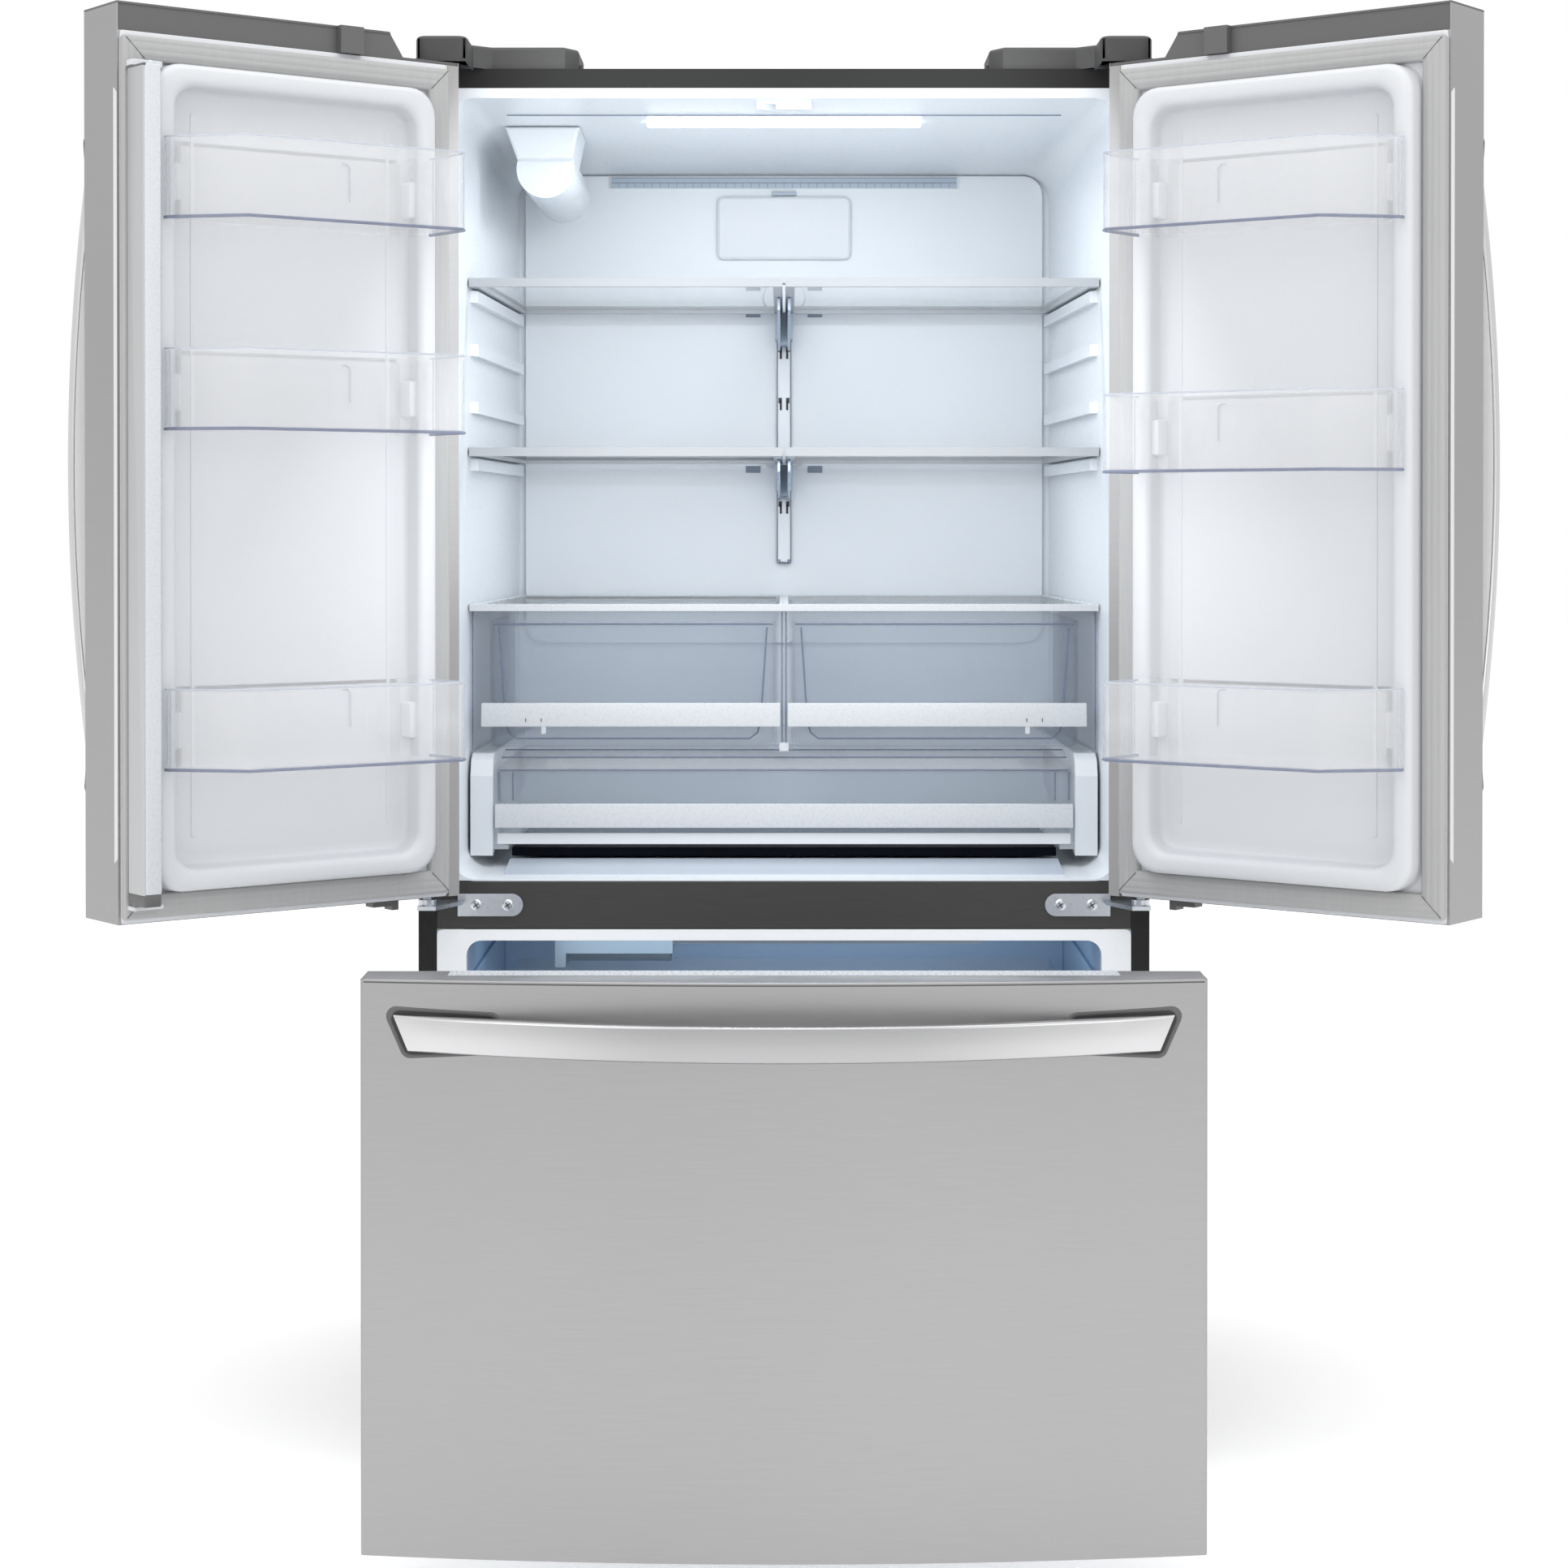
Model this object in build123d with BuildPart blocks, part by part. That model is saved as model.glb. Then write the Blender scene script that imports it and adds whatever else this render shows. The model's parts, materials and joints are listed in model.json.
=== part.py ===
from build123d import *
import math
import os

# French door refrigerator with a bottom freezer drawer.
#
# Every piece is drawn shut: X to the right, Y into the cabinet from its front face, Z up from the floor.
# save() then sets it down as it stands, with both doors swung wide and the freezer drawer pulled out.

os.makedirs("parts", exist_ok=True)

# ---- driving dimensions, mm ---------------------------------------------------------------------
CASE_W, CASE_D, CASE_H = 908.0, 746.0, 1737.0  # cabinet without doors
CASE_Z0 = 34.0  # lower edge of the case sides
SHEET = 1.2  # steel sheet
MOULD = 2.5  # moulded liners
FLANGE = 23.0  # front return of the case round the openings

FRIDGE_Z0, FRIDGE_Z1 = 730.0, 1713.0  # fresh food opening in the case
FREEZER_Z0, FREEZER_Z1 = 95.0, 656.0  # freezer opening in its liner
FRIDGE_HALF, FRIDGE_HALF_REAR = 410.0, 386.0  # inner half width, front and rear
CEILING, CEILING_REAR = 1701.0, 1681.0
FRIDGE_REAR = 660.0  # rear wall of the fresh food liner
FREEZER_HALF, FREEZER_REAR = 395.0, 600.0

DOOR_HALF = 453.0  # both doors and the drawer end here
DOOR_GAP = 5.0  # half the gap between the doors
DOOR_BACK = -12.0  # inner face of doors and drawer
DOOR_FRONT = -100.0  # outer face on the centre line
DOOR_BOW = 30.0  # the outer face falls back this much at the sides
DOOR_Z0, DOOR_Z1, DOOR_TOP = 722.0, 1727.0, 1759.5  # underside, shoulder, top of the cap
HINGE_X, HINGE_Y = -436.0, -58.0  # left door pin; the right one mirrors it
PIN_R, PIN_CLEAR = 5.0, 0.05
DOOR_OPEN = 142.0  # degrees

DRAWER_Z0, DRAWER_Z1 = 70.0, 687.0
DRAWER_OUT = 455.0
RAIL_Z = 315.0  # centre of the freezer rails
RAIL_FRONT = 17.0  # front ends of the cabinet's rails, clear of the shut drawer

HANDLE_W, HANDLE_PROUD, HANDLE_THICK = 38.0, 64.0, 13.0

SHELF_FRONT, SHELF_BACK = 122.0, 632.0
SHELF_TOPS = (1488.0, 1271.0)
SHELF_THICK = 11.0
CRISPER_TOP = 1070.0

FOOTPRINT_Y = 65.0  # middle of the standing footprint, doors and drawer open

# ---- setting down -------------------------------------------------------------------------------
left_hinge = Axis((HINGE_X, HINGE_Y, 0), (0, 0, -1))
right_hinge = Axis((-HINGE_X, HINGE_Y, 0), (0, 0, 1))


def save(part, name, hinge=None, slide=0.0):
    """Label a piece, open it by its hinge or slide, centre it on its footprint and write it."""
    opened = part.rotate(hinge, DOOR_OPEN) if hinge else part
    placed = opened.moved(Location((0, -FOOTPRINT_Y - slide, 0)))
    placed.label = name
    export_step(placed, f"parts/{name}.step")


# ---- helpers ------------------------------------------------------------------------------------
def block(x, y, z, mode=Mode.ADD):
    """A box between pairs of limits, in the part being made."""
    with Locations(((x[0] + x[1]) / 2, (y[0] + y[1]) / 2, (z[0] + z[1]) / 2)):
        Box(x[1] - x[0], y[1] - y[0], z[1] - z[0], mode=mode)


def both_sides(x, y, z, mode=Mode.ADD):
    """The same box on the left and on the right."""
    block(x, y, z, mode)
    block((-x[1], -x[0]), y, z, mode)


def front_y(x):
    """The bowed outer face of doors and drawer."""
    radius = (DOOR_HALF**2 + DOOR_BOW**2) / (2 * DOOR_BOW)
    return DOOR_FRONT + radius - math.sqrt(radius**2 - x**2)


def wall_x(y):
    """Inner half width of the fresh food liner at depth y."""
    return FRIDGE_HALF - (FRIDGE_HALF - FRIDGE_HALF_REAR) * y / FRIDGE_REAR


def ceiling_z(y):
    return CEILING - (CEILING - CEILING_REAR) * y / FRIDGE_REAR


def bowed_outline(x0, x1, inset, corner):
    """Plan of a door between x0 and x1, drawn in by inset, with rounded front corners."""
    left, right, back = x0 + inset, x1 - inset, DOOR_BACK - inset
    middle = (left + right) / 2
    front_left = (left, front_y(left) + inset)
    front_right = (right, front_y(right) + inset)
    with BuildSketch() as outline:
        with BuildLine():
            Polyline(front_left, (left, back), (right, back), front_right)
            ThreePointArc(front_left, (middle, front_y(middle) + inset), front_right)
        make_face()
        fillet(outline.vertices().sort_by(Axis.Y)[:2], radius=corner)
    return outline.sketch


def ring(x, z, width, corner):
    """Front view of a rectangular frame with rounded corners, for the XZ plane."""
    with BuildSketch() as frame:
        with Locations(((x[0] + x[1]) / 2, (z[0] + z[1]) / 2)):
            RectangleRounded(x[1] - x[0], z[1] - z[0], corner)
            RectangleRounded(
                x[1] - x[0] - 2 * width, z[1] - z[0] - 2 * width, max(corner - width, 1), mode=Mode.SUBTRACT
            )
    return frame.sketch


# ---- cabinet ------------------------------------------------------------------------------------
HALF = CASE_W / 2

with BuildPart() as cabinet_shell:
    block((-HALF, HALF), (0, CASE_D), (CASE_Z0, CASE_H))
    block((-HALF + SHEET, HALF - SHEET), (SHEET, CASE_D), (CASE_Z0, CASE_H - SHEET), Mode.SUBTRACT)
    block((-HALF + FLANGE, HALF - FLANGE), (0, SHEET), (CASE_Z0, FRIDGE_Z1), Mode.SUBTRACT)
    fillet(cabinet_shell.edges().filter_by(Axis.Y).group_by(Axis.Z)[-1], radius=1.0)
save(cabinet_shell.part, "cabinet_shell")

REAR_COVER_Z = 262.0  # the machine space is below this at the rear
with BuildPart() as rear_panel:
    block((-HALF + SHEET, HALF - SHEET), (CASE_D - SHEET, CASE_D), (REAR_COVER_Z, CASE_H - SHEET))
    for rib in range(5):  # pressed stiffening ribs
        z = 480 + 260 * rib
        block((-330, 330), (CASE_D, CASE_D + 3), (z, z + 16))
save(rear_panel.part, "rear_panel")

with BuildPart() as rear_grille:
    block((-HALF + SHEET, HALF - SHEET), (CASE_D - SHEET, CASE_D), (CASE_Z0 + 8, REAR_COVER_Z - 0.5))
    for side in (-1, 1):
        for row in range(9):
            z = 70 + 19 * row
            block((side * 230 - 130, side * 230 + 130), (CASE_D - 3, CASE_D + 1), (z, z + 8), Mode.SUBTRACT)
save(rear_grille.part, "rear_grille")

with BuildPart() as fridge_liner:
    outer_front, outer_rear = FRIDGE_HALF + MOULD, FRIDGE_HALF_REAR + MOULD
    floor = FRIDGE_Z0 + 1.5
    for half_front, half_rear, grow, y0, y1 in (
        (outer_front, outer_rear, MOULD, SHEET, FRIDGE_REAR + MOULD),
        (FRIDGE_HALF, FRIDGE_HALF_REAR, 0.0, 0.0, FRIDGE_REAR),
    ):
        mode = Mode.ADD if grow else Mode.SUBTRACT
        with BuildSketch(Plane.XZ.offset(-y0)):
            with Locations((0, (floor + CEILING) / 2)):
                RectangleRounded(2 * half_front, CEILING - floor + 2 * grow, 26 + grow)
        with BuildSketch(Plane.XZ.offset(-y1)):
            with Locations((0, (floor + 6 + CEILING_REAR) / 2)):
                RectangleRounded(2 * half_rear, CEILING_REAR - floor - 6 + 2 * grow, 40 + grow)
        loft(mode=mode)
    with BuildSketch(Plane.XZ.offset(-SHEET)):  # front flange, behind the steel return
        with Locations((0, (FRIDGE_Z0 + FRIDGE_Z1) / 2)):
            RectangleRounded(2 * (HALF - FLANGE), FRIDGE_Z1 - FRIDGE_Z0, 6)
        with Locations((0, (floor + CEILING) / 2)):
            RectangleRounded(2 * FRIDGE_HALF, CEILING - floor, 26, mode=Mode.SUBTRACT)
    extrude(amount=SHEET)
    for z in (1459.0, 1390.0, 1316.0, 1242.0):  # shelf ledges down both walls
        with BuildSketch(Plane.XY.offset(z)):
            for side in (-1, 1):
                with BuildLine():
                    Polyline(
                        (side * (wall_x(150) + 1), 150),
                        (side * (wall_x(640) + 1), 640),
                        (side * (wall_x(640) - 9), 640),
                        (side * (wall_x(150) - 9), 162),
                        close=True,
                    )
                make_face()
        extrude(amount=15)
    block((-34, 34), (22, 60), (1690, CEILING + 1))  # guide that turns the mullion
    with BuildSketch(Plane.XY.offset(1690)):
        with BuildLine():
            Polyline((-30, 20), (-12, 20), (6, 40), (22, 46), (22, 54), (0, 50), close=True)
        make_face()
    extrude(amount=7, mode=Mode.SUBTRACT)
save(fridge_liner.part, "fridge_liner")

HUMP_Y0, HUMP_Y1, HUMP_Z = 440.0, 540.0, 300.0  # floor of the freezer climbs over the compressor


def freezer_profile(grow):
    """Side view of the freezer space, from its front to its rear wall."""
    return [
        (0.0, FREEZER_Z0 - grow),
        (HUMP_Y0, FREEZER_Z0 - grow),
        (HUMP_Y1, HUMP_Z - grow),
        (FREEZER_REAR + grow, HUMP_Z - grow),
        (FREEZER_REAR + grow, FREEZER_Z1 + grow),
        (0.0, FREEZER_Z1 + grow),
    ]


with BuildPart() as freezer_liner:
    for grow, mode in ((MOULD, Mode.ADD), (0.0, Mode.SUBTRACT)):
        with BuildSketch(Plane.YZ):
            with BuildLine():
                Polyline(*freezer_profile(grow), close=True)
            make_face()
        extrude(amount=FREEZER_HALF + grow, both=True, mode=mode)
    with BuildSketch(Plane.XZ.offset(-SHEET)):  # front flange
        with Locations((0, (FREEZER_Z0 + FREEZER_Z1) / 2)):
            Rectangle(2 * (HALF - FLANGE), FREEZER_Z1 - FREEZER_Z0 + 24)
            RectangleRounded(2 * FREEZER_HALF, FREEZER_Z1 - FREEZER_Z0, 18, mode=Mode.SUBTRACT)
    extrude(amount=SHEET)
    both_sides((FREEZER_HALF - 18, FREEZER_HALF + 1), (70, 515), (428, 436))  # tray ledges
    both_sides((FREEZER_HALF - 4, FREEZER_HALF + 1), (20, 515), (600, 606))
save(freezer_liner.part, "freezer_liner")

FOAM_GAP = 0.5  # the slabs stay separate solids


def side_foam(z0, z1, front_half, rear_half, y1):
    """Foam against one case side, following the wall of the liner."""
    with BuildPart() as foam:
        with BuildSketch(Plane.XY.offset(z0)):
            with BuildLine():
                Polyline(
                    (-HALF + SHEET, 2 * SHEET), (-HALF + SHEET, y1),
                    (-rear_half, y1), (-front_half, 2 * SHEET), close=True,
                )
            make_face()
        extrude(amount=z1 - z0)
    return foam.part


with BuildPart() as cabinet_insulation:
    liner_gap = MOULD + 0.3
    upper_side = side_foam(
        700, CASE_H - SHEET, FRIDGE_HALF + liner_gap, FRIDGE_HALF_REAR + liner_gap, FRIDGE_REAR + MOULD
    )
    freezer_side = FREEZER_HALF + MOULD
    lower_side = side_foam(CASE_Z0 + 2, 700 - FOAM_GAP, freezer_side, freezer_side, CASE_D - SHEET)
    for foam in (upper_side, lower_side):
        add(foam)
        add(mirror(foam, about=Plane.YZ, mode=Mode.PRIVATE))
    # behind the fresh food liner, then behind the freezer
    inside = HALF - SHEET
    block((-inside, inside), (FRIDGE_REAR + MOULD + FOAM_GAP, CASE_D - SHEET), (700, CASE_H - SHEET))
    lower = freezer_side - FOAM_GAP
    block((-lower, lower), (FREEZER_REAR + MOULD, CASE_D - SHEET), (REAR_COVER_Z, 700 - FOAM_GAP))
    # over the ceiling
    with BuildSketch(Plane.YZ):
        with BuildLine():
            Polyline(
                (2 * SHEET, CEILING + liner_gap), (2 * SHEET, CASE_H - SHEET),
                (FRIDGE_REAR + MOULD, CASE_H - SHEET), (FRIDGE_REAR + MOULD, CEILING_REAR + liner_gap),
                close=True,
            )
        make_face()
    extrude(amount=FRIDGE_HALF_REAR + MOULD - FOAM_GAP, both=True)
    # between the two spaces, under the freezer floor, and under the hump
    block((-386, 386), (24, FREEZER_REAR), (FREEZER_Z1 + MOULD, FRIDGE_Z0 - 1))
    block((-lower, lower), (3, HUMP_Y0 - 3), (60, FREEZER_Z0 - MOULD))
    with BuildSketch(Plane.YZ):
        with BuildLine():
            Polyline(
                (HUMP_Y0 - 2, 60), (HUMP_Y0 - 2, FREEZER_Z0 - MOULD - 1), (HUMP_Y0, FREEZER_Z0 - MOULD - 1),
                (HUMP_Y1, HUMP_Z - MOULD - 1), (HUMP_Y1 + 34, HUMP_Z - 42), (HUMP_Y0 + 38, 60), close=True,
            )
        make_face()
        with BuildLine():
            Polyline(
                (HUMP_Y1, HUMP_Z - MOULD), (FREEZER_REAR, HUMP_Z - MOULD),
                (FREEZER_REAR, HUMP_Z - 41), (HUMP_Y1 + 35, HUMP_Z - 41), close=True,
            )
        make_face()
    extrude(amount=lower, both=True)
save(cabinet_insulation.part, "cabinet_insulation")

with BuildPart() as divider_trim:
    block((-HALF + FLANGE + 0.3, HALF - FLANGE - 0.3), (0, 2), (670, 729))
    block((-385, 385), (0, 22), (672, 727))
    fillet(divider_trim.edges().filter_by(Axis.X).group_by(Axis.Y)[0], radius=1.5)
save(divider_trim.part, "divider_trim")

LEG_X, LEG_Y, LEG_R = 380.0, 60.0, 9.0
ROLLER_X, ROLLER_Y, ROLLER_R, AXLE_R = 340.0, 700.0, 22.0, 4.0
ROLLER_PLACES = [Location((side * ROLLER_X, ROLLER_Y, ROLLER_R), (0, 90, 0)) for side in (-1, 1)]
with BuildPart() as base_pan:
    block((-396, 396), (20, 740), (28, CASE_Z0 - 0.5))
    for side in (-1, 1):
        with Locations((side * LEG_X, LEG_Y, 41)):
            Cylinder(14, 26)
        with Locations((side * LEG_X, LEG_Y, 41)):
            Cylinder(LEG_R + PIN_CLEAR, 40, mode=Mode.SUBTRACT)
        block((side * ROLLER_X - 13, side * ROLLER_X + 13), (672, 728), (24, 38), Mode.SUBTRACT)
        for face in (-1, 1):
            x = side * ROLLER_X + face * 15
            block((x - 2, x + 2), (680, 720), (12, 33.5))
    with Locations(*ROLLER_PLACES):
        Cylinder(AXLE_R, 34)
save(base_pan.part, "base_pan")

with BuildPart() as rear_rollers:
    with Locations(*ROLLER_PLACES):
        Cylinder(ROLLER_R, 20)
        Cylinder(AXLE_R + PIN_CLEAR, 22, mode=Mode.SUBTRACT)
    fillet(rear_rollers.edges().filter_by(GeomType.CIRCLE).group_by(SortBy.RADIUS)[-1], radius=2)
save(rear_rollers.part, "rear_rollers")

for side, name in ((-1, "left"), (1, "right")):
    with BuildPart() as levelling_leg:
        with Locations((side * LEG_X, LEG_Y, 4)):
            Cylinder(22, 8)
        chamfer(levelling_leg.edges().group_by(Axis.Z)[-1], length=2)
        with BuildSketch(Plane.XY.offset(8)):  # hexagon for the spanner
            with Locations((side * LEG_X, LEG_Y)):
                RegularPolygon(13, 6)
        extrude(amount=8)
        with Locations((side * LEG_X, LEG_Y, 36)):
            Cylinder(LEG_R, 40)
    save(levelling_leg.part, f"{name}_levelling_leg")

with BuildPart() as kick_plate:
    block((-HALF + 8, HALF - 8), (-9, -5), (12, 64))
    both_sides((380, 396), (-5, 20), (30, 60))
    for slot in range(21):
        x = -400 + 40 * slot
        block((x - 14, x + 14), (-10, -4), (26, 50), Mode.SUBTRACT)
        for bar in range(3):
            z = 30 + 7 * bar
            block((x - 15, x + 15), (-8, -5), (z, z + 3))
save(kick_plate.part, "kick_plate")

# ---- machine space and freezer works ------------------------------------------------------------
PUMP_X, PUMP_Y = 190.0, 652.0
with BuildPart() as compressor:
    with Locations((PUMP_X, PUMP_Y, 112)):
        Cylinder(68, 120)
    fillet(compressor.edges().filter_by(GeomType.CIRCLE), radius=34)
    with Locations((PUMP_X, PUMP_Y, 116)):  # welded seam
        Cylinder(71, 8)
    block((110, 270), (600, 704), (44, 53))
    for x in (124, 256):
        for y in (614, 690):
            with Locations((x, y, 39)):
                Cylinder(9, 11)
    block((252, 278), (636, 668), (96, 140))  # terminal box
save(compressor.part, "compressor")

FAN_Y, FAN_Z, FAN_R, SHAFT_R = 652.0, 132.0, 76.0, 3.0
with BuildPart() as condenser:
    for fin in range(16):
        x = -320 + 10 * fin
        block((x - 0.6, x + 0.6), (580, 724), (CASE_Z0 - 0.5, 214))
    for row in range(4):
        for column in range(3):
            with Locations(Location((-245, 606 + 46 * column, 66 + 42 * row), (0, 90, 0))):
                Cylinder(4, 176)
    with Locations(Location((-66, FAN_Y, FAN_Z), (0, 90, 0))):
        Cylinder(26, 44)
    with Locations(Location((-108, FAN_Y, FAN_Z), (0, 90, 0))):
        Cylinder(SHAFT_R, 48)
    block((-80, -52), (FAN_Y - 10, FAN_Y + 10), (CASE_Z0 - 0.5, FAN_Z))
save(condenser.part, "condenser")


def fan(blades, blade_r, hub_r, depth):
    """A fan about +Z: hub with a shaft bore and raked blades."""
    with BuildPart() as wheel:
        Cylinder(hub_r, depth)
        with PolarLocations(0, blades):
            with Locations(Location(((hub_r + blade_r) / 2 - 2, 0, 0), (28, 0, 0))):
                Box(blade_r - hub_r + 2, blade_r * 0.55, 2)
        with Locations((0, 0, 0)):
            Cylinder(SHAFT_R + PIN_CLEAR, depth + 2, mode=Mode.SUBTRACT)
    return wheel.part


condenser_fan = fan(5, FAN_R, 20, 26).moved(Location((-116, FAN_Y, FAN_Z), (0, 90, 0)))
save(condenser_fan, "condenser_fan")

EVAP_FAN_Z = 560.0
evaporator_fan = fan(6, 52, 15, 16).moved(Location((0, 541, EVAP_FAN_Z), (90, 0, 0)))
save(evaporator_fan, "evaporator_fan")

with BuildPart() as evaporator_cover:
    block((-394.5, 394.5), (520, 523), (HUMP_Z + 0.5, FREEZER_Z1 - 0.5))
    both_sides((391.5, 394.5), (520, FREEZER_REAR), (HUMP_Z + 0.5, 590))
    for slot in range(6):
        x = -280 + 112 * slot
        for z in (330, 346, 486, 502):  # air in below, and out in front of the fan
            block((x - 40, x + 40), (519, 524), (z, z + 8), Mode.SUBTRACT)
    with Locations(Location((0, 578, EVAP_FAN_Z), (90, 0, 0))):  # motor on the rear wall
        Cylinder(22, 44)
    with Locations(Location((0, 545, EVAP_FAN_Z), (90, 0, 0))):
        Cylinder(SHAFT_R, 28)
save(evaporator_cover.part, "evaporator_cover")

with BuildPart() as evaporator:
    for fin in range(30):
        x = -290 + 20 * fin
        block((x - 0.5, x + 0.5), (540, 592), (312, 440))
    for row in range(4):
        for column in range(2):
            with Locations(Location((0, 552 + 28 * column, 328 + 32 * row), (0, 90, 0))):
                Cylinder(4, 610)
save(evaporator.part, "evaporator")

with BuildPart() as ice_maker:
    block((-296, -144), (150, 330), (618, FREEZER_Z1))
    block((-290, -150), (156, 324), (617, 648), Mode.SUBTRACT)
    with BuildSketch(Plane.YZ.offset(-291)):  # half round mould
        with Locations((240, 640)):
            Circle(44)
            Circle(40, mode=Mode.SUBTRACT)
            with Locations((0, 30)):
                Rectangle(100, 60, mode=Mode.SUBTRACT)
    extrude(amount=142)
    block((-296, -282), (150, 200), (600, 618))
save(ice_maker.part, "ice_maker")

# ---- freezer drawer, drawn shut -----------------------------------------------------------------
with BuildPart() as drawer_skin:
    with BuildSketch(Plane.XY.offset(DRAWER_Z0)):
        add(bowed_outline(-DOOR_HALF, DOOR_HALF, 0, 5))
    extrude(amount=DRAWER_Z1 - DRAWER_Z0)
    fillet(drawer_skin.edges().group_by(Axis.Z)[-1], radius=1.5)
    with BuildSketch(Plane.XY.offset(DRAWER_Z0 + SHEET)):
        add(bowed_outline(-DOOR_HALF, DOOR_HALF, SHEET, 4))
    extrude(amount=DRAWER_Z1 - DRAWER_Z0 - 2 * SHEET, mode=Mode.SUBTRACT)
    block((-430, 430), (DOOR_BACK - 2, DOOR_BACK + 1), (DRAWER_Z0 + 16, DRAWER_Z1 - 16), Mode.SUBTRACT)
save(drawer_skin.part, "drawer_skin", slide=DRAWER_OUT)

with BuildPart() as drawer_insulation:
    with BuildSketch(Plane.XY.offset(DRAWER_Z0 + SHEET)):
        add(bowed_outline(-DOOR_HALF, DOOR_HALF, SHEET, 4))
    extrude(amount=DRAWER_Z1 - DRAWER_Z0 - 2 * SHEET)
save(drawer_insulation.part, "drawer_insulation", slide=DRAWER_OUT)

with BuildPart() as drawer_liner:
    block((-447, 447), (DOOR_BACK, DOOR_BACK + 2), (78, 682))
    with BuildSketch(Plane.XZ.offset(-(DOOR_BACK + 2))):
        with Locations((0, (114 + 645) / 2)):
            RectangleRounded(2 * 384, 645 - 114, 24)
    extrude(amount=-24, taper=14)
save(drawer_liner.part, "drawer_liner", slide=DRAWER_OUT)

with BuildPart() as drawer_gasket:
    with BuildSketch(Plane.XZ.offset(-(DOOR_BACK + 2))):
        add(ring((-443, 443), (82, 680), 28, 6))
    extrude(amount=-9.5)
    fillet(drawer_gasket.edges().group_by(Axis.Y)[-1], radius=2)
save(drawer_gasket.part, "drawer_gasket", slide=DRAWER_OUT)

DRAWER_HANDLE_HALF, DRAWER_HANDLE_SLANT = 417.0, 17.0
DRAWER_HANDLE_Z = (612.0, 612.0 + HANDLE_W)
with BuildPart() as drawer_handle:
    end, end_y = DRAWER_HANDLE_HALF, front_y(DRAWER_HANDLE_HALF)
    with BuildSketch(Plane.XY.offset(DRAWER_HANDLE_Z[0])):
        with BuildLine():
            Line((-end, end_y + 1), (-end, end_y - 5))
            ThreePointArc((-end, end_y - 5), (0, DOOR_FRONT - HANDLE_PROUD), (end, end_y - 5))
            Line((end, end_y - 5), (end, end_y + 1))
            Line((end, end_y + 1), (end - 46, front_y(end - 46)))
            ThreePointArc(
                (end - 46, front_y(end - 46)),
                (0, DOOR_FRONT - HANDLE_PROUD + HANDLE_THICK),
                (46 - end, front_y(end - 46)),
            )
            Line((46 - end, front_y(end - 46)), (-end, end_y + 1))
        make_face()
    extrude(amount=HANDLE_W)
    with BuildSketch(Plane.XZ):
        with BuildLine():
            slant = DRAWER_HANDLE_SLANT
            Polyline(
                (-end, DRAWER_HANDLE_Z[1]), (end, DRAWER_HANDLE_Z[1]),
                (end - slant, DRAWER_HANDLE_Z[0]), (slant - end, DRAWER_HANDLE_Z[0]), close=True,
            )
        make_face()
    extrude(amount=300, mode=Mode.INTERSECT)
    with BuildSketch(Plane.XY.offset(DRAWER_HANDLE_Z[0] - 1)):  # nothing behind the steel
        add(bowed_outline(-DOOR_HALF, DOOR_HALF, 0, 5))
    extrude(amount=HANDLE_W + 2, mode=Mode.SUBTRACT)
save(drawer_handle.part, "drawer_handle", slide=DRAWER_OUT)

BASKET_HALF, BASKET_Y, BASKET_Z, BASKET_WALL = 350.0, (16.0, 428.0), (112.0, 396.0), 3.0
with BuildPart() as drawer_basket:
    block((-BASKET_HALF, BASKET_HALF), BASKET_Y, BASKET_Z)
    chamfer(drawer_basket.edges().filter_by(Axis.X).group_by(Axis.Z)[0].sort_by(Axis.Y)[-1], length=14)
    inner_half = BASKET_HALF - BASKET_WALL
    inner_y = (BASKET_Y[0] + BASKET_WALL, BASKET_Y[1] - BASKET_WALL)
    block((-inner_half, inner_half), inner_y, (BASKET_Z[0] + BASKET_WALL, BASKET_Z[1] + 4), Mode.SUBTRACT)
    for slot in range(15):  # air slots in the rear wall
        x = -308 + 44 * slot
        block((x - 9, x + 9), (BASKET_Y[1] - 4, BASKET_Y[1] + 2), (180, 360), Mode.SUBTRACT)
save(drawer_basket.part, "drawer_basket", slide=DRAWER_OUT)

with BuildPart() as drawer_inner_rails:
    both_sides((BASKET_HALF, 386), (14, 445), (RAIL_Z - 11, RAIL_Z + 11))
    both_sides((BASKET_HALF, BASKET_HALF + 3), (14, 120), (RAIL_Z - 60, RAIL_Z + 60))
save(drawer_inner_rails.part, "drawer_inner_rails", slide=DRAWER_OUT)

with BuildPart() as freezer_middle_rails:
    for side in (-1, 1):
        x0, x1 = sorted((side * 364, side * 391))
        web0, web1 = sorted((side * 363, side * 389))
        block((x0, x1), (RAIL_FRONT, 460), (RAIL_Z - 16, RAIL_Z + 16))
        block((web0, web1), (RAIL_FRONT - 1, 461), (RAIL_Z - 13.5, RAIL_Z + 13.5), Mode.SUBTRACT)
save(freezer_middle_rails.part, "freezer_middle_rails", slide=DRAWER_OUT / 2)

with BuildPart() as freezer_outer_rails:
    for side in (-1, 1):
        x0, x1 = sorted((side * 376, side * FREEZER_HALF))
        web0, web1 = sorted((side * 375, side * 393))
        block((x0, x1), (RAIL_FRONT, 470), (RAIL_Z - 21, RAIL_Z + 21))
        block((web0, web1), (RAIL_FRONT - 1, 471), (RAIL_Z - 18.5, RAIL_Z + 18.5), Mode.SUBTRACT)
save(freezer_outer_rails.part, "freezer_outer_rails")

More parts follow.
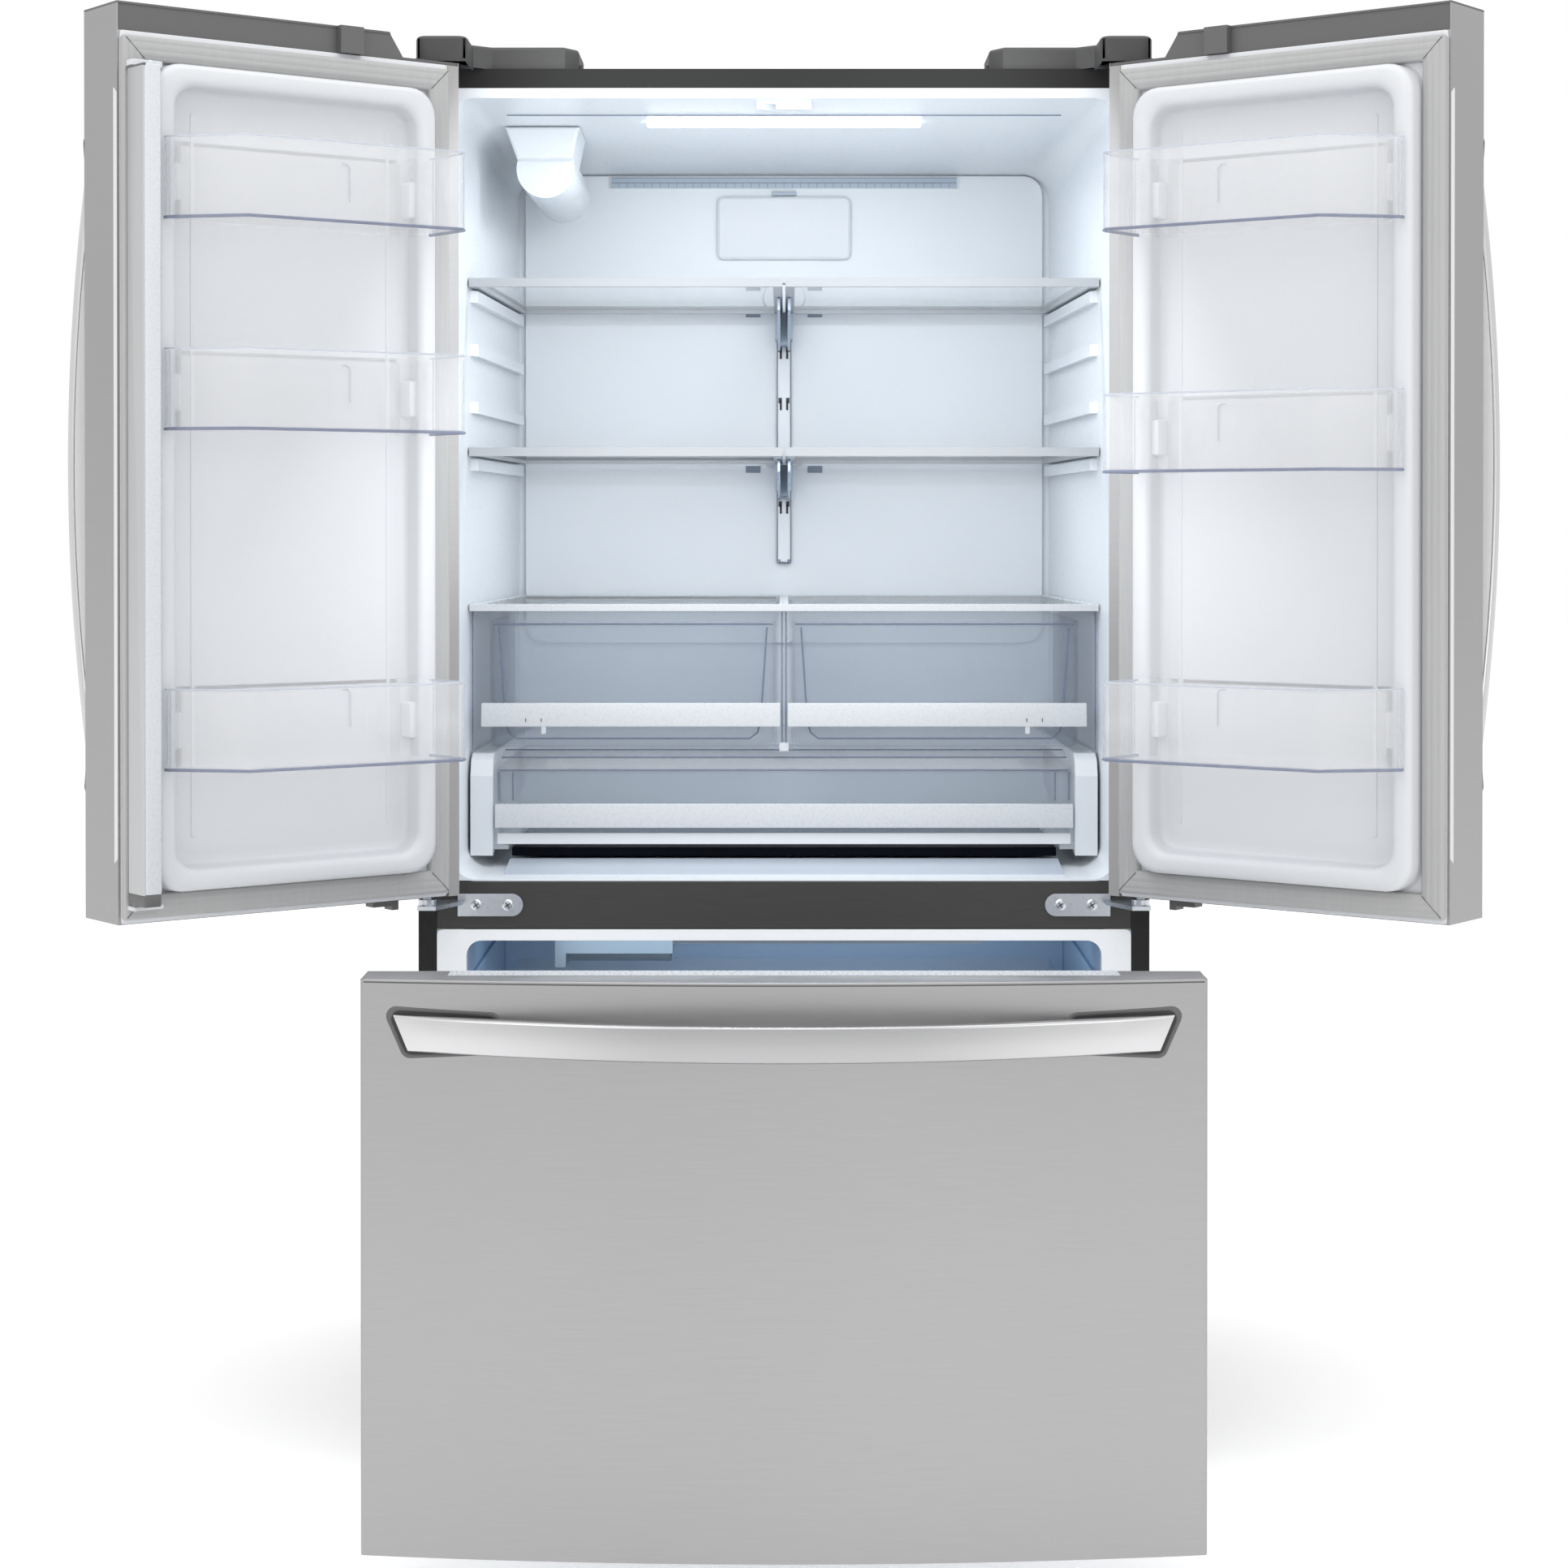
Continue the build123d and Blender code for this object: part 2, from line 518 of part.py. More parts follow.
TRAY_HALF, TRAY_Y, TRAY_Z, TRAY_WALL = 374.0, (60.0, 510.0), (437.0, 560.0), 3.0
with BuildPart() as freezer_tray:
    block((-TRAY_HALF, TRAY_HALF), TRAY_Y, TRAY_Z)
    inner_half = TRAY_HALF - TRAY_WALL
    inner_y = (TRAY_Y[0] + TRAY_WALL, TRAY_Y[1] - TRAY_WALL)
    block((-inner_half, inner_half), inner_y, (TRAY_Z[0] + TRAY_WALL, TRAY_Z[1] + 1), Mode.SUBTRACT)
    block((-200, 200), (TRAY_Y[0] - 2, TRAY_Y[0] + 2), (520, TRAY_Z[1] + 1), Mode.SUBTRACT)  # dip to hold
    both_sides((TRAY_HALF, 390), TRAY_Y, (TRAY_Z[0], TRAY_Z[0] + 4))  # runners on the liner's ledges
save(freezer_tray.part, "freezer_tray")

# ---- doors, drawn shut; the right door mirrors the left -----------------------------------------
LEFT_X0, LEFT_X1 = -DOOR_HALF, -DOOR_GAP
NOTCH_X, NOTCH_Z = -376.0, 1731.0  # the hinge cover fills this corner of the door top

with BuildPart() as notch:
    with BuildSketch(Plane.XZ):
        with BuildLine():
            Polyline((-470, NOTCH_Z), (NOTCH_X, NOTCH_Z), (NOTCH_X + 26, 1770), (-470, 1770), close=True)
        make_face()
    extrude(amount=120)

with BuildPart() as door_skin:
    with BuildSketch(Plane.XY.offset(DOOR_Z0)):
        add(bowed_outline(LEFT_X0, LEFT_X1, 0, 4))
        add(bowed_outline(LEFT_X0, LEFT_X1, SHEET, 3), mode=Mode.SUBTRACT)
        with Locations(((LEFT_X0 + LEFT_X1) / 2, DOOR_BACK)):
            Rectangle(LEFT_X1 - LEFT_X0 - 30, 4 * SHEET, mode=Mode.SUBTRACT)
    extrude(amount=DOOR_TOP - 2.5 - DOOR_Z0)
    inside = (LEFT_X0 + SHEET, LEFT_X1 - SHEET)
    block(inside, (DOOR_BACK - 2, DOOR_BACK + 1), (DOOR_Z1, 1770), Mode.SUBTRACT)
    add(notch.part, mode=Mode.SUBTRACT)

DYKE_X, DYKE_Z = (-404.0, -38.0), (757.0, 1692.0)  # raised ring of the inner liner
DYKE_W, DYKE_Y = 24.0, 20.0
LINER_Y = DOOR_BACK + 2
FOAM_X = (DYKE_X[0] + MOULD, DYKE_X[0] + DYKE_W - MOULD)  # foam bar in the hinge side of the ring
FOAM_X2 = (DYKE_X[1] - DYKE_W + MOULD, DYKE_X[1] - MOULD)
FOAM_BARS = (
    (FOAM_X, (DYKE_Z[0] + 34, DYKE_Z[1] - 34)),
    (FOAM_X2, (DYKE_Z[0] + 34, DYKE_Z[1] - 34)),
    ((DYKE_X[0] + 34, DYKE_X[1] - 34), (DYKE_Z[0] + MOULD, DYKE_Z[0] + DYKE_W - MOULD)),
    ((DYKE_X[0] + 34, DYKE_X[1] - 34), (DYKE_Z[1] - DYKE_W + MOULD, DYKE_Z[1] - MOULD)),
)
BUSH_R, BUSH_DEEP = 10.0, 26.0

with BuildPart() as door_insulation:
    with BuildSketch(Plane.XY.offset(DOOR_Z0 + 4)):
        add(bowed_outline(LEFT_X0, LEFT_X1, SHEET, 3))
        with Locations((HINGE_X, HINGE_Y)):
            Circle(BUSH_R, mode=Mode.SUBTRACT)
    extrude(amount=DOOR_Z1 - DOOR_Z0 - 4)
    with Locations((HINGE_X, HINGE_Y, (DOOR_Z0 + DOOR_Z1) / 2)):
        Cylinder(BUSH_R, DOOR_Z1 - DOOR_Z0 - 2 * BUSH_DEEP - 8)
    for x, z in FOAM_BARS:
        block(x, (DOOR_BACK, DYKE_Y - MOULD - 0.1), z)

with BuildPart() as door_liner:
    block((-434, -8), (DOOR_BACK, LINER_Y), (726, 1723))
    with BuildSketch(Plane.XZ.offset(-LINER_Y)):
        add(ring(DYKE_X, DYKE_Z, DYKE_W, 34))
    extrude(amount=-(DYKE_Y - LINER_Y))
    fillet(door_liner.edges().group_by(Axis.Y)[-1], radius=7)
    for x, z in FOAM_BARS:
        block(x, (DOOR_BACK - 1, DYKE_Y - MOULD), z, Mode.SUBTRACT)

with BuildPart() as door_gasket:
    with BuildSketch(Plane.XZ.offset(-LINER_Y)):
        add(ring((-434, -8), (728, 1721), 28, 5))
    extrude(amount=-9.5)
    fillet(door_gasket.edges().group_by(Axis.Y)[-1], radius=2)

with BuildPart() as door_caps:
    with BuildSketch(Plane.XY.offset(DOOR_Z1)):
        add(bowed_outline(LEFT_X0, LEFT_X1, SHEET, 3))
    extrude(amount=DOOR_TOP - 2.5 - DOOR_Z1)
    with BuildSketch(Plane.XY.offset(DOOR_TOP - 2.5)):
        add(bowed_outline(LEFT_X0, LEFT_X1, 0, 4))
    extrude(amount=2.5)
    add(notch.part, mode=Mode.SUBTRACT)
    block((-317, -286), (DOOR_BACK - 1, DOOR_BACK + 9), (DOOR_Z1 + 0.5, DOOR_TOP))  # closing magnet housing
    with Locations((HINGE_X, HINGE_Y, DOOR_Z1 - BUSH_DEEP / 2)):
        Cylinder(BUSH_R, BUSH_DEEP)
    with Locations((HINGE_X, HINGE_Y, DOOR_Z1)):
        Cylinder(PIN_R + PIN_CLEAR, 2 * BUSH_DEEP, mode=Mode.SUBTRACT)
    with BuildSketch(Plane.XY.offset(DOOR_Z0)):
        add(bowed_outline(LEFT_X0, LEFT_X1, SHEET, 3))
    extrude(amount=4)
    with Locations((HINGE_X, HINGE_Y, DOOR_Z0 + 4 + BUSH_DEEP / 2)):
        Cylinder(BUSH_R, BUSH_DEEP)
    with Locations((HINGE_X, HINGE_Y, DOOR_Z0)):
        Cylinder(PIN_R + PIN_CLEAR, 2 * (BUSH_DEEP + 4), mode=Mode.SUBTRACT)
    block((-381, -346), (-52, -34), (DOOR_Z0 - 9, DOOR_Z0))  # stop that meets the hinge arm
    block((-381, -372), (-52, -34), (DOOR_Z0 - 14, DOOR_Z0 - 9))

HANDLE_X = (-14.0 - HANDLE_W, -14.0)
HANDLE_Z = (868.0, 1612.0)
with BuildPart() as door_handle:
    face = front_y(HANDLE_X[0]) + 0.5
    low, high = HANDLE_Z
    middle = (low + high) / 2
    tip = DOOR_FRONT - HANDLE_PROUD
    with BuildSketch(Plane.YZ.offset(HANDLE_X[0])):
        with BuildLine():
            Line((face, low), (face - 5, low))
            ThreePointArc((face - 5, low), (tip, middle), (face - 5, high))
            Line((face - 5, high), (face, high))
            Line((face, high), (face, high - 46))
            ThreePointArc((face, high - 46), (tip + HANDLE_THICK, middle), (face, low + 46))
            Line((face, low + 46), (face, low))
        make_face()
    extrude(amount=HANDLE_W)
    with BuildSketch(Plane.XZ):
        with BuildLine():
            Polyline(
                (HANDLE_X[1], low), (HANDLE_X[1], high), (HANDLE_X[0], high - 17), (HANDLE_X[0], low + 17),
                close=True,
            )
        make_face()
    extrude(amount=300, mode=Mode.INTERSECT)
    with BuildSketch(Plane.XY.offset(low - 1)):
        add(bowed_outline(LEFT_X0, LEFT_X1, 0, 4))
    extrude(amount=high - low + 2, mode=Mode.SUBTRACT)

BIN_H, BIN_WALL = 93.0, 2.5
BIN_PLAN = (  # narrow between the sides of the raised ring, wider in front of it
    (-378, LINER_Y + 0.5), (-378, 22), (-392, 22), (-392, 101), (-382, 111), (-108, 104),
    (-44, 30), (-44, 22), (-64, 22), (-64, LINER_Y + 0.5),
)


def door_bins(levels):
    """Clear bins hung one above the other inside a left-hand door."""
    with BuildPart() as bins:
        for level in levels:
            with BuildSketch(Plane.XY.offset(level)) as plan:
                with BuildLine():
                    Polyline(*BIN_PLAN, close=True)
                make_face()
                fillet(plan.vertices().group_by(Axis.Y)[-1], radius=8)
            extrude(amount=BIN_H)
            with BuildSketch(Plane.XY.offset(level + 3)) as hollow:
                with BuildLine():
                    Polyline(*BIN_PLAN, close=True)
                make_face()
                offset(amount=-BIN_WALL, kind=Kind.INTERSECTION)
            extrude(amount=BIN_H, mode=Mode.SUBTRACT)
    return bins.part


MULLION_X, MULLION_Y = -16.25, 7.25  # turning axis
MULLION_Z = (747.0, 1683.5)
MULLION_PIN_R = 2.5
with BuildPart() as left_liner:
    add(door_liner.part)
    block((-56, -38), (0.5, 14.5), (738.5, DYKE_Z[0] + 4))
    for z in (738.5, 1684.5):  # ears that carry the mullion
        block((-56, -10), (0.5, 14.5), (z, z + 8))
        with Locations((MULLION_X, MULLION_Y, z + 4)):
            Cylinder(MULLION_PIN_R + PIN_CLEAR, 20, mode=Mode.SUBTRACT)

with BuildPart() as mullion_bar:  # folded against the free edge of the left door
    block((-30.7, -9), (1, 46), MULLION_Z)
    front_corners = mullion_bar.edges().filter_by(Axis.Z).group_by(Axis.Y)[0]
    fillet(front_corners.sort_by(Axis.X)[-1], radius=6)  # this corner sweeps past the door gasket
    chamfer(mullion_bar.edges().filter_by(Axis.Z).group_by(Axis.Y)[-1], length=2)
    with Locations((MULLION_X, MULLION_Y, sum(MULLION_Z) / 2)):
        Cylinder(MULLION_PIN_R, MULLION_Z[1] - MULLION_Z[0] + 16)
    with Locations((-24, 32, MULLION_Z[1] + 2)):  # knob that runs in the ceiling guide
        Cylinder(5, 4)
save(mullion_bar.part, "mullion_bar", left_hinge)

LEFT_LEVELS, RIGHT_LEVELS = (895.5, 1277.5, 1514.5), (895.5, 1232.0, 1514.5)
for name, piece in (
    ("skin", door_skin.part), ("insulation", door_insulation.part), ("gasket", door_gasket.part),
    ("caps", door_caps.part), ("handle", door_handle.part),
):
    save(piece, f"left_door_{name}", left_hinge)
    save(mirror(piece, about=Plane.YZ), f"right_door_{name}", right_hinge)
save(left_liner.part, "left_door_liner", left_hinge)
save(mirror(door_liner.part, about=Plane.YZ), "right_door_liner", right_hinge)
save(door_bins(LEFT_LEVELS), "left_door_bins", left_hinge)
save(mirror(door_bins(RIGHT_LEVELS), about=Plane.YZ), "right_door_bins", right_hinge)

# ---- hinges -------------------------------------------------------------------------------------
with BuildPart() as one_side:
    # upper bracket lies on the case, and its pin drops into the door
    with BuildSketch(Plane.XY.offset(CASE_H)) as plate:
        with BuildLine():
            Polyline(
                (-443.5, -66), (-443.5, 110), (-340, 110), (-340, 40), (-400, -10), (-420, -70), close=True
            )
        make_face()
    extrude(amount=4)
    with Locations((HINGE_X, HINGE_Y, CASE_H - 12)):
        Cylinder(PIN_R, 32)
    # lower bracket screwed to the cross rail, arm forward, washer, pin up into the door
    block((-405, -338), (-3, 0), (686, 714))
    with Locations(Location((-338, -1.5, 700), (90, 0, 0))):
        Cylinder(14, 3)
    with BuildSketch(Plane.XY.offset(702)):
        with BuildLine():
            Polyline(
                (-405, -3), (-405, 0), (-398, 0), (-398, -20), (-424, -74), (-447, -74), (-447, -44),
                (-428, -3), close=True,
            )
        make_face()
    extrude(amount=5)
    with Locations((HINGE_X, HINGE_Y, 710.5)):
        Cylinder(11, 7)
    with Locations((HINGE_X, HINGE_Y, 727)):
        Cylinder(PIN_R, 40)
with BuildPart() as door_hinges:
    add(one_side.part)
    mirror(one_side.part, about=Plane.YZ)
save(door_hinges.part, "door_hinges")

SCREW_PLACES = ((-382, 700), (-343, 700))
with BuildPart() as hinge_screws:
    for side in (-1, 1):
        for x, z in SCREW_PLACES:
            with Locations(Location((side * -x, -4.5, z), (90, 0, 0))):
                Cylinder(7, 3)
        for x, y in ((-428, 60), (-360, 60), (-428, 96)):
            with Locations((side * x, y, CASE_H + 4 + 2)):
                Cylinder(6, 4)
save(hinge_screws.part, "hinge_screws")

COVER_TOP = 1765.0
with BuildPart() as one_cover:
    with BuildSketch(Plane.XY.offset(CASE_H)) as plan:
        with BuildLine():
            Polyline(
                (-447, -84), (-447, 128), (-256, 128), (-256, 30), (-272, 6), (-362, 6), (-384, -12),
                (-384, -84), close=True,
            )
        make_face()
        fillet(plan.vertices().group_by(Axis.Y)[0], radius=14)
        fillet(plan.vertices().group_by(Axis.Y)[-1], radius=10)
    extrude(amount=COVER_TOP - CASE_H)
    with BuildSketch(Plane.XY.offset(NOTCH_Z + 3)):  # nose hangs lower in front of the case
        with BuildLine():
            Polyline((-447, -84), (-447, -1), (-384, -1), (-384, -84), close=True)
        make_face()
    extrude(amount=CASE_H - NOTCH_Z - 3)
    fillet(one_cover.edges().group_by(Axis.Z)[-1], radius=5)
    with BuildSketch(Plane.XY.offset(NOTCH_Z)):
        with BuildLine():
            Polyline(
                (-444.5, -81), (-444.5, 125), (-259, 125), (-259, 31), (-274, 9), (-363, 9), (-386.5, -10),
                (-386.5, -81), close=True,
            )
        make_face()
    extrude(amount=COVER_TOP - NOTCH_Z - 3, mode=Mode.SUBTRACT)
with BuildPart() as hinge_covers:
    add(one_cover.part)
    mirror(one_cover.part, about=Plane.YZ)
save(hinge_covers.part, "hinge_covers")

# ---- inside the fresh food space ----------------------------------------------------------------
with BuildPart() as air_duct_cover:
    with BuildSketch(Plane.XZ.offset(-FRIDGE_REAR)):
        with Locations((0, 1339.5)):
            RectangleRounded(752, 679, 28)
    extrude(amount=8)
    block((-253, 253), (649, 652), (1661, 1677))
    for slot in range(3):  # long outlet under the ceiling
        z = 1662.5 + 5 * slot
        block((-250, 250), (648, 655), (z, z + 3), Mode.SUBTRACT)
    with BuildSketch(Plane.XZ.offset(-652)):  # plain raised panel
        with Locations((0, 1603.25)):
            RectangleRounded(194, 91.5, 8)
    extrude(amount=4)
    block((-18, 18), (649, 652), (1651, 1656))
    for x in (-45, 45):
        for z in (1517.5, 1479, 1252.5):
            block((x - 11, x + 11), (648, 656), (z - 5, z + 5), Mode.SUBTRACT)
save(air_duct_cover.part, "air_duct_cover")

with BuildPart() as ceiling_lamp:
    with BuildSketch(Plane.XY.offset(1688.5)):
        with Locations((0, 179)):
            SlotOverall(356, 13)
    extrude(amount=ceiling_z(186) - 1688.5)
    fillet(ceiling_lamp.edges().group_by(Axis.Z)[0], radius=2)
save(ceiling_lamp.part, "ceiling_lamp")

with BuildPart() as filter_housing:
    for y, low in ((212, 1652), (330, 1640)):  # block under the ceiling, then the cartridge behind it
        top = ceiling_z(y) - 1
        with BuildSketch(Plane.XZ.offset(-y)):
            with BuildLine():
                Polyline((-366, top), (-268, top), (-278, low), (-350, low), close=True)
            make_face()
    loft()
    with Locations(Location((-314, 395, 1640), (90, 0, 0))):
        Cylinder(38, 330)
    fillet(filter_housing.faces().sort_by(Axis.Y)[0].edges(), radius=4)
save(filter_housing.part, "filter_housing")

ARM_DROP, ARM_TIP = 52.0, 18.0  # depth of a shelf arm at the ladder and at its end
with BuildPart() as shelf_ladder:
    block((-12, 12), (646, 652), (1115, 1523))
    for z in (1478, 1422, 1347.5, 1197):
        both_sides((2.5, 6.5), (645, 650), (z - 9, z + 9), Mode.SUBTRACT)
    for top in SHELF_TOPS:  # arms hooked in the ladder carry the inner edges of the shelves
        under = top - SHELF_THICK - 0.5
        for x in (-9, 5):
            with BuildSketch(Plane.YZ.offset(x)):
                with BuildLine():
                    Polyline(
                        (646, under), (646, under - ARM_DROP), (628, under - ARM_DROP),
                        (300, under - ARM_TIP), (300, under), close=True,
                    )
                make_face()
            extrude(amount=4)
save(shelf_ladder.part, "shelf_ladder")

SIDE_PLAY = 2.0  # between a shelf and the wall


def shelf_plan(inner_x, back, inset):
    """Plan of a right-hand shelf that follows the tapering wall."""
    front_x = wall_x(SHELF_FRONT) - SIDE_PLAY
    back_x = wall_x(back) - SIDE_PLAY
    with BuildSketch() as plan:
        with BuildLine():
            Polyline(
                (inner_x + inset, SHELF_FRONT + inset), (front_x - inset, SHELF_FRONT + inset),
                (back_x - inset, back - inset), (inner_x + inset, back - inset), close=True,
            )
        make_face()
    return plan.sketch


RIM = 12.0  # width of a shelf's moulded rim
LEDGE_Z = 881.7  # ledges under the crispers
with BuildPart() as right_frames:
    for top in SHELF_TOPS:
        with BuildSketch(Plane.XY.offset(top - SHELF_THICK)):
            add(shelf_plan(2.0, SHELF_BACK, 0))
            add(shelf_plan(2.0, SHELF_BACK, RIM), mode=Mode.SUBTRACT)
        extrude(amount=SHELF_THICK)
with BuildPart() as shelf_frames:
    add(right_frames.part)
    mirror(right_frames.part, about=Plane.YZ)
save(shelf_frames.part, "shelf_frames")

with BuildPart() as crisper_frame:
    window = shelf_plan(0, 640, RIM)
    with BuildSketch(Plane.XY.offset(CRISPER_TOP - 9)) as rim:
        add(shelf_plan(0, 640, 0))
        mirror(about=Plane.YZ)
        for half in (window, mirror(window, about=Plane.YZ, mode=Mode.PRIVATE)):
            add(half, mode=Mode.SUBTRACT)
    extrude(amount=9)
    block((-2.5, 2.5), (140, 620), (LEDGE_Z, CRISPER_TOP - 9))
    block((-12, 12), (140, 600), (LEDGE_Z, LEDGE_Z + 3))
    for inner, z1 in ((368, LEDGE_Z + 3), (0, CRISPER_TOP - 9)):  # ledges, then walls outside the crispers
        with BuildSketch(Plane.XY.offset(LEDGE_Z)):
            for side in (-1, 1):
                front, rear = wall_x(140) - 3, wall_x(560) - 3
                with BuildLine():
                    Polyline(
                        (side * front, 140), (side * rear, 560),
                        (side * (inner or rear - 3), 560), (side * (inner or front - 3), 140), close=True,
                    )
                make_face()
        extrude(amount=z1 - LEDGE_Z)
save(crisper_frame.part, "crisper_frame")

with BuildPart() as right_panes:
    for top in SHELF_TOPS:
        with BuildSketch(Plane.XY.offset(top - 6)):
            add(shelf_plan(2.0, SHELF_BACK, RIM))
        extrude(amount=4)
    with BuildSketch(Plane.XY.offset(CRISPER_TOP - 6)):
        add(shelf_plan(0, 640, RIM))
    extrude(amount=4)
with BuildPart() as shelf_glass:
    add(right_panes.part)
    mirror(right_panes.part, about=Plane.YZ)
save(shelf_glass.part, "shelf_glass")

CRISPER_X, BAR_X = (8.0, 380.0), (5.0, 388.0)  # right-hand crisper and its handle bar
CRISPER_Y, CRISPER_Z = (136.0, 560.0), (885.0, 1048.0)
BAR_Z = (913.0, 943.0)
BIN_SKIN = 2.5  # wall of the crispers and of the flat drawer
SLOT_X = (303.0, 340.0)  # slot under the bar, where the humidity slider runs
SLIDER_Z = (BAR_Z[0] - 9, BAR_Z[0] + 4)
with BuildPart() as crisper:
    block(CRISPER_X, CRISPER_Y, CRISPER_Z)
    chamfer(crisper.edges().filter_by(Axis.X).group_by(Axis.Z)[0].sort_by(Axis.Y)[0], length=16)
    inner_x = (CRISPER_X[0] + BIN_SKIN, CRISPER_X[1] - BIN_SKIN)
    inner_y = (CRISPER_Y[0] + BIN_SKIN, CRISPER_Y[1] - BIN_SKIN)
    block(inner_x, inner_y, (CRISPER_Z[0] + BIN_SKIN, CRISPER_Z[1] + 1), Mode.SUBTRACT)
    with BuildSketch(Plane.YZ.offset(BAR_X[0])):  # handle bar, undercut for the fingers
        with BuildLine():
            Polyline(
                (136, BAR_Z[0]), (136, BAR_Z[1]), (122, BAR_Z[1]), (119, BAR_Z[0]), (122, BAR_Z[0]),
                (126, BAR_Z[1] - 5), (133, BAR_Z[1] - 5), (133, BAR_Z[0]), close=True,
            )
        make_face()
    extrude(amount=BAR_X[1] - BAR_X[0])
    block(SLOT_X, (118, 124), (BAR_Z[0] - 1, BAR_Z[0] + 5), Mode.SUBTRACT)
save(crisper.part, "right_crisper")
save(mirror(crisper.part, about=Plane.YZ), "left_crisper")

for name, slider_x in (("left", -308.0), ("right", 312.0)):  # both stand near the inner or left end
    with BuildPart() as humidity_slider:
        block((slider_x - 3, slider_x + 3), (119.5, 122), SLIDER_Z)
        fillet(humidity_slider.edges().filter_by(Axis.Y).group_by(Axis.Z)[0], radius=1.5)
    save(humidity_slider.part, f"{name}_humidity_slider")

PANTRY_HALF, PANTRY_Y, PANTRY_Z = 370.0, (128.0, 570.0), (760.0, 858.0)
with BuildPart() as pantry_guides:
    with BuildSketch(Plane.YZ.offset(373)):
        with BuildLine():
            Polyline(
                (118, 748), (118, 850), (126, 870), (142, 878), (600, 878), (600, 800), (300, 770),
                close=True,
            )
        make_face()
    extrude(amount=33)
    block((355, 380), (140, 600), (754, 759.5))
    with BuildSketch(Plane.XY.offset(730)):
        with BuildLine():
            Polyline((300, 100), (wall_x(100) - 4, 100), (wall_x(620) - 4, 620), (300, 620), close=True)
        make_face()
    extrude(amount=160, mode=Mode.INTERSECT)
with BuildPart() as both_guides:
    add(pantry_guides.part)
    mirror(pantry_guides.part, about=Plane.YZ)
save(both_guides.part, "pantry_guides")

with BuildPart() as pantry_drawer:
    block((-PANTRY_HALF, PANTRY_HALF), PANTRY_Y, PANTRY_Z)
    chamfer(pantry_drawer.edges().filter_by(Axis.X).group_by(Axis.Z)[0].sort_by(Axis.Y)[0], length=12)
    inner_half = PANTRY_HALF - BIN_SKIN
    inner_y = (PANTRY_Y[0] + BIN_SKIN, PANTRY_Y[1] - BIN_SKIN)
    block((-inner_half, inner_half), inner_y, (PANTRY_Z[0] + BIN_SKIN, PANTRY_Z[1] + 1), Mode.SUBTRACT)
    with BuildSketch(Plane.YZ.offset(-PANTRY_HALF)):  # handle bar
        with BuildLine():
            Polyline(
                (128, 784), (128, 814), (116, 814), (113, 784), (116, 784), (119, 809), (125, 809),
                (125, 784), close=True,
            )
        make_face()
    extrude(amount=2 * PANTRY_HALF)
    with BuildSketch(Plane.YZ.offset(-PANTRY_HALF + 4)):  # curved clear cover over the front
        with BuildLine():
            Line((128, 857), (128, 855))
            ThreePointArc((128, 857), (160, 873), (210, 878))
            Line((210, 878), (210, 875.5))
            ThreePointArc((210, 875.5), (161, 870.5), (131, 855))
            Line((131, 855), (128, 855))
        make_face()
    extrude(amount=2 * PANTRY_HALF - 8)
    both_sides((-PANTRY_HALF + 4, -PANTRY_HALF + 7), (129, 210), (857, 870))
save(pantry_drawer.part, "pantry_drawer")
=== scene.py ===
import json
import math

import bmesh
import bpy
from mathutils import Matrix, Vector


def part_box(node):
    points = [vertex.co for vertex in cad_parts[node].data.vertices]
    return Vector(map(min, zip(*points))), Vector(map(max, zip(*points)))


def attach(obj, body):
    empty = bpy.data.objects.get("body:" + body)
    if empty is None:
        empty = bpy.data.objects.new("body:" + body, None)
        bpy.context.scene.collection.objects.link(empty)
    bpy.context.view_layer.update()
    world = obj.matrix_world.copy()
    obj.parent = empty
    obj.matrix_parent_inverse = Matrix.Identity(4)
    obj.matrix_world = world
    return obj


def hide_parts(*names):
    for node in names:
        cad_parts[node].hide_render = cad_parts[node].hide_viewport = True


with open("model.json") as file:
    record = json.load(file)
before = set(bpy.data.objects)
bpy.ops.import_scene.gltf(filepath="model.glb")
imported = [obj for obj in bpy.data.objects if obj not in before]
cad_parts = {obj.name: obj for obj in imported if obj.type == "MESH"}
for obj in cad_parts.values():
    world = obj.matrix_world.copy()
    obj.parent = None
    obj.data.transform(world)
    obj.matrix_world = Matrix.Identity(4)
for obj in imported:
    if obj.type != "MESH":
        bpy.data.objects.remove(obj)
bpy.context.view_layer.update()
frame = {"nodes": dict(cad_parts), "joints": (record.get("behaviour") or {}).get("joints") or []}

# Looks of a french door refrigerator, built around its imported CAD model.
#
# Pieces are drawn in millimetres as the CAD is drawn: everything shut, X to the right, Y into the cabinet
# from its front face, Z up. A place matrix then opens or slides each piece to where its body rests.

# ---- places, from the frame ---------------------------------------------------------------------
MM = 0.001
JOINTS = {joint["name"]: joint for joint in frame["joints"]}
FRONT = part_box("cabinet_shell")[0].y  # the cabinet's front face
CASE = Matrix.Translation((0, FRONT, 0)) @ Matrix.Scale(MM, 4)
DRAWER = Matrix.Translation((0, JOINTS["drawer_slide"]["range_m"][0], 0)) @ CASE


def door_place(joint, turn, mirror):
    """Where a piece drawn on the shut left door goes on the open door."""
    pivot = Matrix.Translation(JOINTS[joint]["pos_m"])
    angle = math.radians(-JOINTS[joint]["range_deg"][0]) * turn
    flip = Matrix.Diagonal((-1, 1, 1, 1)) if mirror else Matrix.Identity(4)
    return pivot @ Matrix.Rotation(angle, 4, "Z") @ pivot.inverted() @ CASE @ flip


DOORS = {
    "left": door_place("left_door_hinge", -1, False),
    "right": door_place("right_door_hinge", 1, True),
}
MIRRORED = CASE @ Matrix.Diagonal((-1, 1, 1, 1))

